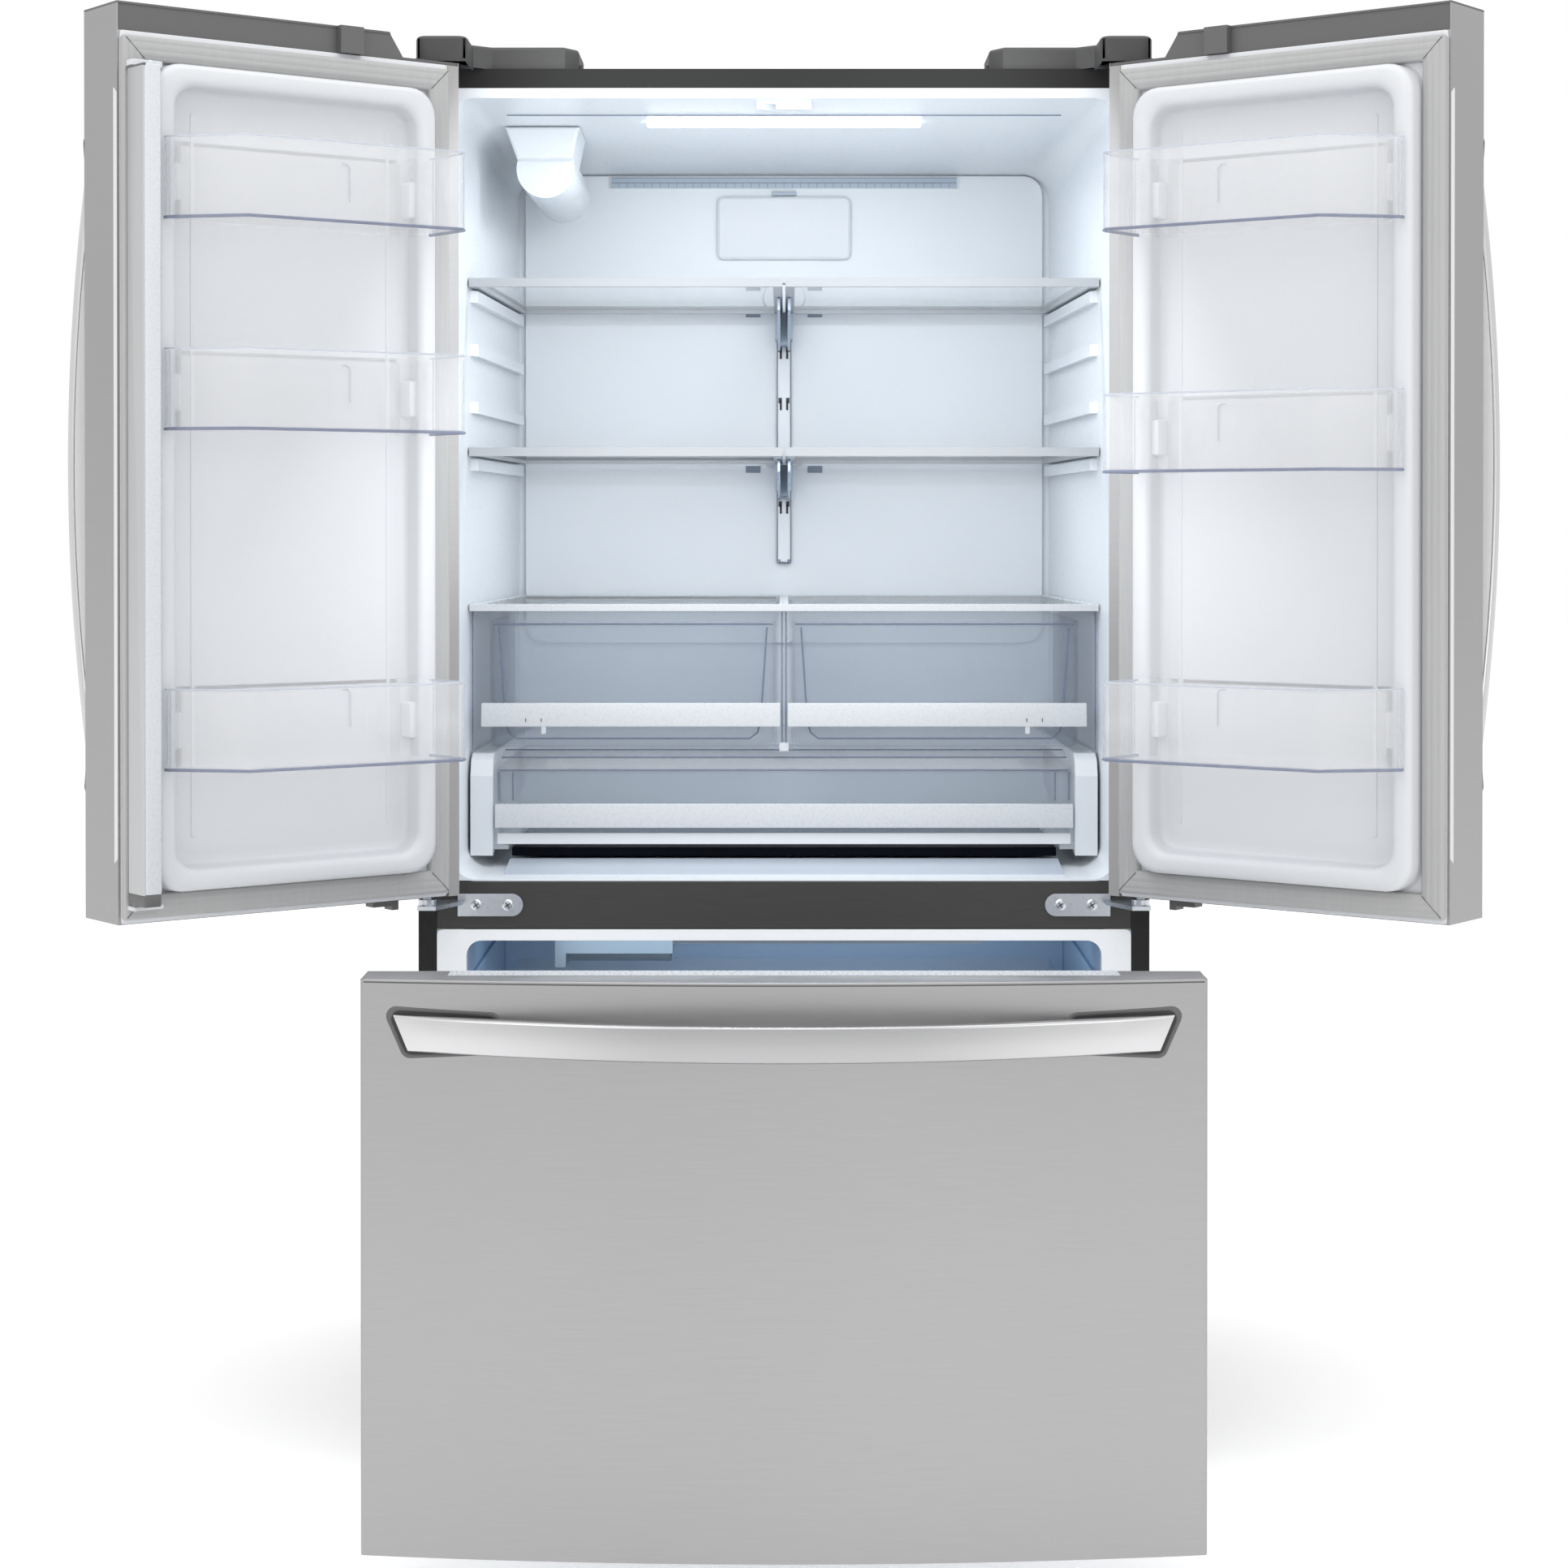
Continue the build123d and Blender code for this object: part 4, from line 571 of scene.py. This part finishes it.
def handle(ends, across, along_face, place):
    """A bowed bar with slanted ends. along_face(s) is the face's depth, place maps (along, across, y)."""
    section = rounded(rect((0, HANDLE_W), (0, HANDLE_THICK)), 3.4, 4)
    inner_ends = (ends[0] + ROOT, ends[1] - ROOT)
    rings = []
    stations = 64
    for station in range(stations + 1):
        share = 0.5 - 0.5 * math.cos(math.pi * station / stations)
        ring = []
        for a, b in section:
            trim = SLANT * (1 - a / HANDLE_W) + (1.2 if station in (0, stations) else 0)
            s = ends[0] + trim + (ends[1] - ends[0] - 2 * trim) * share
            outer = arc_y(s, ends, along_face(ends[0]) - 5, HANDLE_TIP)
            if inner_ends[0] < s < inner_ends[1]:
                inner_end = along_face(inner_ends[0])
                inner = arc_y(s, inner_ends, inner_end, HANDLE_TIP + HANDLE_THICK)
            else:
                inner = along_face(s) + 0.4
            ring.append(place(s, across[0] + a, outer + (inner - outer) * b / HANDLE_THICK))
        rings.append(ring)
    draft = Draft()
    draft.rings(rings)
    # Faces on the side towards the door take the second finish, the near-white painted light.
    count = len(section)
    for number in range(stations * count):
        step = number % count
        if min(section[step][1], section[(step + 1) % count][1]) > HANDLE_THICK - 0.1:
            draft.paints[number] = 1
    return draft


def pocket(corners):
    """Rim round the recess that a handle's foot stands in, and the dark floor inside it, painted black as the
    shade in the recess.
    """
    draft = Draft()
    levels = [(-0.4, -9.0, 11), (0.9, -8.2, 11), (1.3, -6.8, 10), (1.2, -5.2, 9), (0.5, -4.4, 9)]
    draft.loft(corners, levels, on_face, first=False, last=False)
    draft.loft(corners, [(0.5, -4.4, 9), (0.45, -3.0, 8)], on_face, first=False, paint=1)
    return draft


BIN_FRONT = rounded(inset(BIN_PLAN, 0.9), 6, 4)
BIN_FRONT = [p for p in BIN_FRONT if p[1] > 23.5]
BIN_FRONT.sort(key=lambda p: math.atan2(p[1] - 20, p[0] + 220))

for side, place in DOORS.items():
    body = f"{side}_door"
    piece(
        f"{side}_door_inner_liner", door_liner(side), door_white, place, body, [f"{side}_door_liner"],
    )
    piece(
        f"{side}_door_seal", gasket_ring(LINER_X, SEAL_Z), [gasket, crease_shade_and_marks], place, body,
        [f"{side}_door_gasket"], sharp=55,
    )
    piece(
        f"{side}_door_pull",
        handle(HANDLE_Z, HANDLE_X, lambda s: front_y(HANDLE_X[0]), lambda s, a, y: (a, y, s)),
        [rod_steel, handle_back_painted_light], place, body, [f"{side}_door_handle"], sharp=50,
    )
    low, high = HANDLE_Z
    x0, x1 = HANDLE_X
    for end, tip, way in (("lower", low, 1), ("upper", high, -1)):
        corners = [
            (x1, tip), (x1 - 5, tip + way * 92), (x0 + 5, tip + way * 92), (x0, tip + way * SLANT),
        ]
        piece(
            f"{side}_door_{end}_pocket", pocket(corners), [cap_grey, black_plastic_and_hollow_shade], place, body,
        )
    strip = Draft()  # cover strip down the free edge
    strip.loft(
        [(-21, 790), (-12.5, 797), (-12.5, 1657), (-21, 1664)],
        [(-5.2, 0, 1), (-4.6, 0.2, 1), (-4.3, 0.8, 1)],
        lambda u, v, height: (height, u, v), first=False,
    )
    piece(f"{side}_door_edge_strip", strip, strip_grey, place, body)
    for number, level in enumerate(BIN_LEVELS[side]):
        bin_name = f"{side}_door_bin_{number + 1}"
        shell = Draft()
        shell.loft(
            BIN_PLAN,
            [
                (level + 0.6, 1.2, 3), (level + 2.2, 0.3, 4), (level + BIN_H - 6, 0.3, 5),
                (level + BIN_H - 5, 0, 5), (level + BIN_H - 0.8, 0, 5), (level + BIN_H, 0.8, 5),
                (level + BIN_H, 3.0, 4), (level + BIN_H - 5, 3.2, 4), (level + BIN_H - 7, 2.5, 4),
                (level + 5, 2.5, 4), (level + 3, 4.5, 3),
            ],
            xy,
        )
        piece(bin_name, shell, clear, place, body, [f"{side}_door_bins"])
        band = Draft()  # thick lower edge, where the floor meets the walls, drawn darker as painted shade of the plastic seen edge-on
        band.wire([(x, y, level + 1.8) for x, y in BIN_FRONT], 1.9)
        piece(f"{bin_name}_foot", band, clear_edge_painted_shade, place, body)
        # Top rim, corner lines and hook in a lighter, less clear finish: painted highlights where the plastic
        # is seen edge-on.
        rim = Draft()
        rim.wire([(x, y, level + BIN_H - 1.2) for x, y in BIN_FRONT], 1.2)
        for x, y in ((-391.6, 98), (-391.4, 30), (-44.6, 29), (-48.5, 30)):  # corners that catch the light, drawn as painted highlights
            rim.wire([(x, y, level + 4), (x, y, level + BIN_H - 3)], 0.9)
        hook = [(-300, -6), (-300, 34), (-296, 38), (-290, 38)]  # moulded hook in the back wall, in the same painted-highlight finish
        rim.wire([(x, -7.6, level + 44 + lift) for x, lift in hook], 0.8)
        piece(f"{bin_name}_rim", rim, clear_rim_painted_highlight, place, body)
piece(
    "drawer_seal", gasket_ring(DRAWER_SEAL_X, DRAWER_SEAL_Z), [gasket, crease_shade_and_marks], DRAWER, "freezer_drawer",
    ["drawer_gasket"], sharp=55,
)

# mullion that folds against the left door
MULLION_PLAN = (
    (MULLION_X[0], MULLION_Y[0]), (MULLION_X[1] - 5, MULLION_Y[0]), (MULLION_X[1], MULLION_Y[0] + 5),
    (MULLION_X[1], MULLION_Y[1]), (MULLION_X[0], MULLION_Y[1]),
)
low, high = MULLION_Z
bar = Draft()
bar.loft(
    [(x - 1.4 if x > -20 else x, y) for x, y in MULLION_PLAN],
    [(low + 14, 0.5, 2), (low + 15, 0, 2.5), (high - 2, 0, 2.5), (high - 0.6, 0.6, 2.4), (high, 1.8, 2)],
    xy,
)
piece("mullion_core", bar, trim_white, DOORS["left"], "mullion", ["mullion_bar"])
plate = Draft()
plate.loft(
    rect((MULLION_Y[0] + 5, MULLION_Y[1] - 1), (low + 13, high - 2)),
    [(MULLION_X[1] - 1.8, 0, 1), (MULLION_X[1] - 0.4, 0, 1), (MULLION_X[1], 0.5, 1)],
    lambda u, v, height: (height, u, v),
)
piece("mullion_plate", plate, mullion_metal, DOORS["left"], "mullion", bevel=0.2)
ends = Draft()  # a foot below the bar, and a thin cap on the plate
ends.loft(
    MULLION_PLAN, [(low, 1.2, 2), (low + 0.8, 0.6, 2.5), (low + 14.2, 0.6, 2.5), (low + 15, 1.2, 2)], xy
)
ends.loft(
    rect((-12.5, -9), (1.2, 45.8)),
    [(high - 2.8, 0.3, 1), (high - 2.4, 0, 1), (high - 0.4, 0, 1), (high, 0.3, 1)], xy,
)
piece("mullion_ends", ends, cap_grey, DOORS["left"], "mullion")
knob = Draft()
rings = []
for turn in (-0.4, 0, 0.3, 0.6, 0.9, 1.2, 1.45):  # a dome
    z = high + 0.8 + 5.0 * math.sin(turn)
    rings.append([(x, y, z) for x, y in circle(*KNOB_CENTRE, KNOB_RADIUS * math.cos(turn), 28)])
knob.rings(rings)
knob.rod((*MULLION_AXIS, low - 8), (*MULLION_AXIS, high + 8), 2.5)
piece("mullion_knob", knob, trim_white, DOORS["left"], "mullion")

# ---- freezer drawer -----------------------------------------------------------------------------
piece(
    "drawer_pull",
    handle(
        (-GRIP_HALF, GRIP_HALF), GRIP_Z, lambda s: front_y(min(abs(s), GRIP_HALF)),
        lambda s, a, y: (s, y, a),
    ),
    [handle_steel, handle_back_painted_light], DRAWER, "freezer_drawer", ["drawer_handle"], sharp=50,
)
for side, sign in (("left", -1), ("right", 1)):
    low, high = GRIP_Z
    corners = [
        (sign * GRIP_HALF, high), (sign * (GRIP_HALF - SLANT), low), (sign * (GRIP_HALF - 108), low + 5),
        (sign * (GRIP_HALF - 108), high - 5),
    ]
    piece(
        f"drawer_{side}_pocket", pocket(corners), [cap_grey, black_plastic_and_hollow_shade], DRAWER, "freezer_drawer",
    )
# Dark line along the seam under the drawer's top edge: painted shade in the seam.
seam = Draft()
seam_x = [-DOOR_HALF + 4 + (2 * DOOR_HALF - 8) * step / 40 for step in range(41)]
seam.wire([(x, front_y(x) + 0.1, DRAWER_TOP - 3.2) for x in seam_x], 0.8)
piece("drawer_top_seam", seam, crease_shade_and_marks, DRAWER, "freezer_drawer")
edge = Draft()
edge.block((-362, 362), (-46, -13), (DRAWER_TOP - 0.4, DRAWER_TOP + 0.5))
piece("drawer_top_edge", edge, trim_white, DRAWER, "freezer_drawer", bevel=0.3)


# ---- crispers and pantry drawer -----------------------------------------------------------------
for side, place in (("right", CASE), ("left", MIRRORED)):
    body = f"{side}_crisper"
    low, high = CRISPER_Z
    shell = Draft()
    shell.loft(
        rect(CRISPER_X, CRISPER_Y),
        [
            (low, 9, 10), (low + 3, 3, 12), (low + 12, 1.2, 14), (high - 9, 0.6, 12), (high - 8, 0, 12),
            (high - 1, 0, 12), (high, 0.8, 11), (high, 3.2, 10), (high - 9, 3.6, 10), (low + 13, 4, 10),
            (low + 6, 6, 9), (low + 4, 11, 8),
        ],
        xy,
    )
    piece(f"{side}_crisper_bin", shell, smoky, place, body, [f"{side}_crisper"])
    grip = Draft()
    section = rounded(
        [(119, BAR_Z[0]), (122, BAR_Z[1]), (136, BAR_Z[1]), (136, BAR_Z[0] + 18), (132, BAR_Z[0] + 18),
         (132, BAR_Z[1] - 5), (126, BAR_Z[1] - 5), (122.5, BAR_Z[0])], 1.0, 3,
    )
    grip.rings([[(x, y, z) for y, z in section] for x in BAR_X])
    for tick in (311, 331):  # plain marks for the two ends of the slider's travel
        grip.block((tick - 0.6, tick + 0.6), (119.1, 121), (BAR_Z[0] + 6, BAR_Z[0] + 11), 1)
    piece(f"{side}_crisper_bar", grip, [trim_white, crease_shade_and_marks], place, body, bevel=0.6)
    # Moulded ridges drawn as darker lines: real ridges, their darkness painted shade of the plastic seen
    # edge-on.
    lines = Draft()
    x0, x1 = CRISPER_X
    frame_line = [
        (x0 + 14, high - 8), (x0 + 22, low + 34), (x0 + 26, low + 20), (x0 + 36, low + 12),
        (x1 - 36, low + 12), (x1 - 26, low + 20), (x1 - 22, low + 34), (x1 - 14, high - 8),
    ]
    lines.wire([(x, CRISPER_Y[0] - 0.2, z) for x, z in frame_line], 1.1)
    lines.wire([(x, CRISPER_Y[0] - 0.2, high - 4) for x in (x0 + 6, x1 - 6)], 1.2)
    piece(f"{side}_crisper_ridges", lines, clear_edge_painted_shade, place, body)

low, high = PANTRY_Z
shell = Draft()
shell.loft(
    rect((-PANTRY_HALF, PANTRY_HALF), PANTRY_Y),
    [
        (low, 8, 8), (low + 3, 2.5, 10), (low + 10, 0.8, 12), (high - 2, 0, 12), (high, 0.8, 12),
        (high, 3.0, 10), (low + 12, 3.4, 10), (low + 6, 5, 9), (low + 4, 9, 8),
    ],
    xy,
)
piece("pantry_bin", shell, smoky, CASE, "pantry_drawer", ["pantry_drawer"])
bar = Draft()
foot, top = PANTRY_BAR_Z
section = rounded(
    [(113, foot), (116, top), (128, top), (128, top - 8), (125, top - 8), (125, top - 5), (119, top - 5),
     (116.5, foot)], 0.8, 3,
)
bar.rings([[(x, y, z) for y, z in section] for x in (-PANTRY_HALF, PANTRY_HALF)])
# Lower band of the bar in the lighter flange white: painted light, brighter than the bar's own white.
bar.block((-PANTRY_HALF + 2, PANTRY_HALF - 2), (126.5, 128.2), (low + 2, low + 16), 1)
piece("pantry_bar", bar, [trim_white, flange_white], CASE, "pantry_drawer", bevel=0.5)
lid = Draft()
shares = [step / 10 for step in range(11)]
curve = [(LID_Y + LID_DEEP * t, high + LID_RISE * math.sin(t * math.pi / 2)) for t in shares]
under = [(y + 1.2, z - 2.2) for y, z in reversed(curve)]
lid.rings([[(x, y, z) for y, z in curve + under] for x in (-PANTRY_HALF + 4, PANTRY_HALF - 4)])
piece("pantry_lid", lid, clear, CASE, "pantry_drawer")
# Moulded ridges drawn as darker lines: real ridges, their darkness painted shade of the plastic seen edge-on.
lines = Draft()
for y, z in ((127.4, 857), (150, 871.5), (209, 877)):
    lines.wire([(-PANTRY_HALF + 5, y, z), (PANTRY_HALF - 5, y, z)], 1.1)
for sign in (-1, 1):
    for x in (PANTRY_HALF - 4, PANTRY_HALF - 22):
        lines.wire([(sign * x, LID_Y + 0.6, top + 4), (sign * x, LID_Y + 0.6, high - 3)], 1.0)
piece("pantry_ridges", lines, clear_edge_painted_shade, CASE, "pantry_drawer")
# Dark block in the gap under the pantry drawer: a painted shadow.
gap = Draft()
gap.block((-350, 350), (134, 560), (746, 757))
piece("pantry_floor_shadow", gap, painted_shadow_blue, CASE, "cabinet", bevel=1)

# Floor lip in the grey-blue finish, painted shade under the pantry drawer.
lip = Draft()
outline = [(44, 730), (52, 734.5), (120, 742.5), (131, 743.5), (133, 742), (133, 730)]
lip.rings([[(x, y, z) for y, z in outline] for x in (-352, 352)])
piece("fridge_floor_lip", lip, floor_lip_painted_shade, CASE, "cabinet", bevel=0.6)

# ---- fresh food space ---------------------------------------------------------------------------
DUCT_FRONT = 652.0  # front face of the duct cover
OUTLET_X, OUTLET_Z, OUTLET_PITCH = (-251.0, 251.0), (1661.5, 1676.5), 12.0
PANEL_X, PANEL_Z = (-97.0, 97.0), (1557.5, 1649.0)
LOUVRE_X, LOUVRE_Z = 45.0, (1517.5, 1479.0, 1252.5)
TRACK_HALF, TRACK_Z = 10.4, (1115.5, 1523.0)
HOOK_SLOT_Z = (1422.0, 1347.5, 1197.0)
ARM_X, ARM_THICK, ARM_DROP, ARM_TIP = 5.0, 4.0, 52.0, 18.0
slot_z = ceiling_z(126)
ceiling_slot = Draft()
ceiling_slot.block((-355, 355), (125, 128.5), (slot_z - 1.4, slot_z + 0.5))
piece("ceiling_slot", ceiling_slot, vent_dark, CASE, "cabinet")
vent = Draft()
sill, head = OUTLET_Z
vent.block(OUTLET_X, (647.6, 648.8), OUTLET_Z)
vent.block(OUTLET_X, (646.4, 648), (sill + 7, sill + 8), 1)
vent.block(OUTLET_X, (646.4, 648), (head - 1, head), 1)
for number in range(-20, 21):  # fine ribs between the two rails
    x = OUTLET_PITCH * number
    vent.block((x - 0.4, x + 0.4), (647, 648), (sill + 0.3, sill + 7), 1)
piece("rear_long_vent", vent, [vent_blue, vent_dark], CASE, "cabinet")
label = Draft()
label.loft(
    rect(PANEL_X, PANEL_Z),
    [(650, 0, 9), (646.6, 0, 9), (645.4, 0.8, 8.4), (645.2, 2.0, 7.6), (646.4, 3.4, 6.6)], xz, first=False,
)
piece("rear_blank_panel", label, panel_white, CASE, "cabinet", sharp=30)
tab = Draft()
tab.loft(rect((-18, 18), (1650.5, 1656.5)), [(650, 0, 1), (645.6, 0.2, 1), (645, 0.8, 1)], xz, first=False)
piece("rear_panel_tab", tab, vent_blue, CASE, "cabinet")
louvres = Draft()
for x in (-LOUVRE_X, LOUVRE_X):
    for z in LOUVRE_Z:
        louvres.block((x - 10.6, x + 10.6), (DUCT_FRONT + 0.4, DUCT_FRONT + 1.4), (z - 4.8, z + 4.8))
        for line in (-2.4, 0, 2.4):
            louvres.block((x - 10.4, x + 10.4), (650.8, 652.6), (z + line - 0.35, z + line + 0.35), 1)
piece("rear_louvres", louvres, [vent_dark, vent_blue], CASE, "cabinet")
bosses = Draft()
for z, tall in ((1483.5, 38), (1257.5, 27)):
    levels = [(DUCT_FRONT, 0, 18), (647, 0.4, 18), (645.6, 2, 16)]
    bosses.loft(rect((-31, 31), (z, z + tall)), levels, xz, first=False)
piece("shelf_bosses", bosses, duct_white, CASE, "cabinet")

ladder = Draft()
ladder.block((-9, 9), (645.2, DUCT_FRONT), (TRACK_Z[0] + 2.5, TRACK_Z[1] - 2))
ladder.loft(
    rect((-TRACK_HALF, TRACK_HALF), TRACK_Z),
    [(650, 0, 3), (644.2, 0, 3), (644.2, 1.2, 2.2), (650, 1.2, 2.2)], xz,
    first=False, last=False, paint=1,
)
for side in (-1, 1):
    ladder.block(sorted((side * 9.4, side * 5)), (643.8, 648), (TRACK_Z[0] + 1.5, TRACK_Z[0] + 6), 2)
    for z in HOOK_SLOT_Z:  # slots for the hooks of another shelf, painted black as the shade inside them
        ladder.block(sorted((side * 3, side * 6.2)), (644.4, 646), (z - 9, z + 5), 3)
        ladder.block(sorted((side * 3, side * 8)), (644.4, 646), (z + 1, z + 9), 3)
piece(
    "shelf_track", ladder, [duct_white, edge_blue, vent_dark, black_plastic_and_hollow_shade], CASE, "cabinet",
    ["shelf_ladder"], bevel=0.3,
)
arms = Draft()
for top in SHELF_TOPS:
    under = top - 11.5
    for x in (-ARM_X - ARM_THICK, ARM_X):
        outline = [
            (646, under), (646, under - ARM_DROP), (628, under - ARM_DROP), (300, under - ARM_TIP),
            (300, under),
        ]
        outline = rounded(outline, 3, 3)
        arms.rings([[(x, y, z) for y, z in outline], [(x + ARM_THICK, y, z) for y, z in outline]])
    arms.block((-ARM_X, ARM_X), (560, 643), (under - 46, under - 2), 1)
    for side in (-1, 1):
        arms.block(sorted((side * 9, side * 12.5)), (600, 646), (under - 38, under), 1)
piece(
    "shelf_arms", arms, [ladder_grey, vent_blue], CASE, "cabinet", bevel=0.5, sharp=30,
)

# crisper frame: white rim, clear walls
RIM_Y, RIM_WIDE, RIM_LOW = (122, 640), 12, CRISPER_TOP - 9
WALL_Y, CLEARANCE = (140, 560), 2
rim = Draft()
rim_z, inner_y = (RIM_LOW, CRISPER_TOP), (RIM_Y[0] + RIM_WIDE, RIM_Y[1] - RIM_WIDE)
front, rear = (wall_x(y) - CLEARANCE for y in RIM_Y)
rim.block((-front, front), (RIM_Y[0], inner_y[0]), rim_z)
rim.block((-rear, rear), (inner_y[1], RIM_Y[1]), rim_z)
rim.block((-RIM_WIDE / 2, RIM_WIDE / 2), inner_y, rim_z)
for side in (-1, 1):
    outside, inside = CLEARANCE, CLEARANCE + RIM_WIDE
    stations = [(y, side * (wall_x(y) - outside), side * (wall_x(y) - inside)) for y in inner_y]
    rim.slab(*stations, rim_z)
rim.block((-6, 6), (118, 150), (LEDGE_Z, LEDGE_Z + 10))
piece("crisper_rim", rim, trim_white, CASE, "cabinet", ["crisper_frame"], bevel=0.8)
walls = Draft()
walls.block((-2.2, 2.2), (WALL_Y[0], 620), (LEDGE_Z, RIM_LOW))
walls.block((-12, 12), (WALL_Y[0], 600), (LEDGE_Z, LEDGE_Z + 3))
for side in (-1, 1):
    for x0, x1, z1 in ((3, 6, RIM_LOW), (6, 33, LEDGE_Z + 3)):  # wall, then the ledge inside it
        stations = [(y, side * (wall_x(y) - x0), side * (wall_x(y) - x1)) for y in WALL_Y]
        walls.slab(*stations, (LEDGE_Z, z1))
piece("crisper_walls", walls, smoky, CASE, "cabinet", bevel=0.4)
# Edges of the clear walls drawn as darker lines: painted shade of the plastic seen edge-on.
edges = Draft()
for x in (-2.6, 2.6):
    edges.wire([(x, 139.6, LEDGE_Z + 8), (x, 139.6, CRISPER_TOP - 10)], 0.9)
for side in (-1, 1):
    x = side * (wall_x(WALL_Y[0]) - 4)
    edges.wire([(x, 139.6, LEDGE_Z), (x, 139.6, CRISPER_TOP - 10)], 1.0)
piece("crisper_wall_edges", edges, clear_edge_painted_shade, CASE, "cabinet")

# freezer
flange = Draft()
outer, inner = rect((-431, 431), (84, 669.4)), rect((-394.6, 394.6), (95.4, 655.6))
flange.rings(
    [
        [xz(u, v, y) for u, v in rounded(corners, radius, 8)]
        for corners, radius, y in ((outer, 8, 0.3), (outer, 8, -0.35), (inner, 19, -0.35), (inner, 19, 14))
    ],
    first=False, last=False,
)
piece("freezer_flange", flange, flange_white, CASE, "cabinet")
strip = Draft()
strip.block((-138, 245), (6, 13), (650.5, 655.5))
piece("freezer_ceiling_strip", strip, vent_dark, CASE, "cabinet", bevel=0.5)

# ---- hinges -------------------------------------------------------------------------------------
SCREW_X, SCREW_Z, PLATE_SCREWS = (382, 343), 700, ((428, 60), (360, 60), (428, 96))
screws = Draft()
for sign in (-1, 1):
    for x in SCREW_X:
        rings = []
        for y, radius in ((-3, 7.2), (-4.6, 7.2), (-5.6, 6.2), (-6.1, 4.4), (-6.2, 3.0)):
            rings.append([(u, y, v) for u, v in circle(sign * x, SCREW_Z, radius, 28)])
        screws.rings(rings)
        for turn in (0.6, 0.6 + math.pi / 2):  # cross recess, painted dark as the shade inside it
            arm = Vector((math.cos(turn), math.sin(turn))) * 4.2
            side = Vector((-math.sin(turn), math.cos(turn))) * 0.8
            base = len(screws.points)
            for spot in (arm + side, -arm + side, -arm - side, arm - side):
                screws.points.append((sign * x + spot.x, -6.28, SCREW_Z + spot.y))
            screws.face([base, base + 1, base + 2, base + 3], 1)
    for x, y in PLATE_SCREWS:
        screws.rod((sign * x, y, 1741), (sign * x, y, 1745), 6, 16, 1.0)
piece("hinge_screw_heads", screws, [zinc, crease_shade_and_marks], CASE, "cabinet", ["hinge_screws"])
clips = Draft()
for sign in (-1, 1):  # cable clip at the inner end of each cover
    clips.block(sorted((sign * 256, sign * 249)), (30, 62), (1737.2, 1741.5))
    clips.block(sorted((sign * 256, sign * 252)), (36, 48), (1741, 1747))
piece("cover_clips", clips, black_plastic_and_hollow_shade, CASE, "cabinet", bevel=0.8)

# ---- stage, light and camera --------------------------------------------------------------------
scene = bpy.context.scene
scene.view_settings.view_transform = "Standard"

floor_mesh = bpy.data.meshes.new("floor")
reach = 30.0
floor_corners = [(x, y, 0) for x, y in rect((-reach, reach), (-reach, reach))]
floor_mesh.from_pydata(floor_corners, [], [(0, 1, 2, 3)])
floor_mesh.materials.append(floor_pale)
floor = bpy.data.objects.new("floor", floor_mesh)
scene.collection.objects.link(floor)

world = bpy.data.worlds.new("studio")
scene.world = world
world.use_nodes = True
world.node_tree.nodes["Background"].inputs["Color"].default_value = (1.0, 1.0, 1.0, 1)
world.node_tree.nodes["Background"].inputs["Strength"].default_value = 1.0


def area_light(name, place, aim, size, power, colour=(1, 1, 1)):
    """A rectangular light at a place, turned towards an aim, all in metres."""
    data = bpy.data.lights.new(name, "AREA")
    data.shape = "RECTANGLE"
    data.size, data.size_y = size
    data.energy = power
    data.color = colour
    lamp = bpy.data.objects.new(name, data)
    scene.collection.objects.link(lamp)
    lamp.location = place
    lamp.rotation_euler = (Vector(aim) - Vector(place)).to_track_quat("-Z", "Y").to_euler()


area_light("key", (-2.2, -3.6, 3.2), (0, 0, 1.0), (2.0, 2.0), 22)
area_light("overhead", (0, -0.9, 3.6), (0, -0.6, 0), (3.0, 3.0), 34)
area_light("fill", (2.4, -3.4, 2.4), (0, 0, 1.0), (2.0, 2.0), 14)
lamp_low, lamp_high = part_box("ceiling_lamp")
lamp_y = (lamp_low.y + lamp_high.y) / 2
COOL = (0.94, 0.97, 1.0)
area_light("inside_lamp", (0, lamp_y, lamp_low.z - 0.01), (0, lamp_y + 0.1, 1.0), (0.34, 0.012), 1.6, COOL)
for sign in (-1, 1):
    area_light(f"inside_wash_{sign}", (sign * 0.2, FRONT - 0.25, 1.45), (0, 0.5, 1.1), (0.3, 0.8), 1.15, COOL)
for level in (1.255, 1.055, 0.87):  # light that the glass and clear drawers would let through
    spot = (0, FRONT + 0.30, level)
    area_light(f"inside_level_{level}", spot, (0, FRONT + 0.36, 0), (0.66, 0.3), 0.68, COOL)
area_light("freezer_wash", (0, FRONT + 0.1, 0.64), (0, 0.3, 0.4), (0.6, 0.1), 0.8, (0.7, 0.85, 1.0))

CAMERA_BACK, CAMERA_HEIGHT, CAMERA_PITCH = 3.739, 1.172, 0.008  # fitted to the object's corners
camera_data = bpy.data.cameras.new("camera")
camera = bpy.data.objects.new("camera", camera_data)
scene.collection.objects.link(camera)
scene.camera = camera
camera_data.sensor_width = 36.0
camera_data.lens = 69.18
camera_data.shift_y = -0.15
camera_data.clip_end = 100.0
camera.location = (0, FRONT - CAMERA_BACK, CAMERA_HEIGHT)
camera.rotation_euler = (math.radians(90) - CAMERA_PITCH, 0, 0)
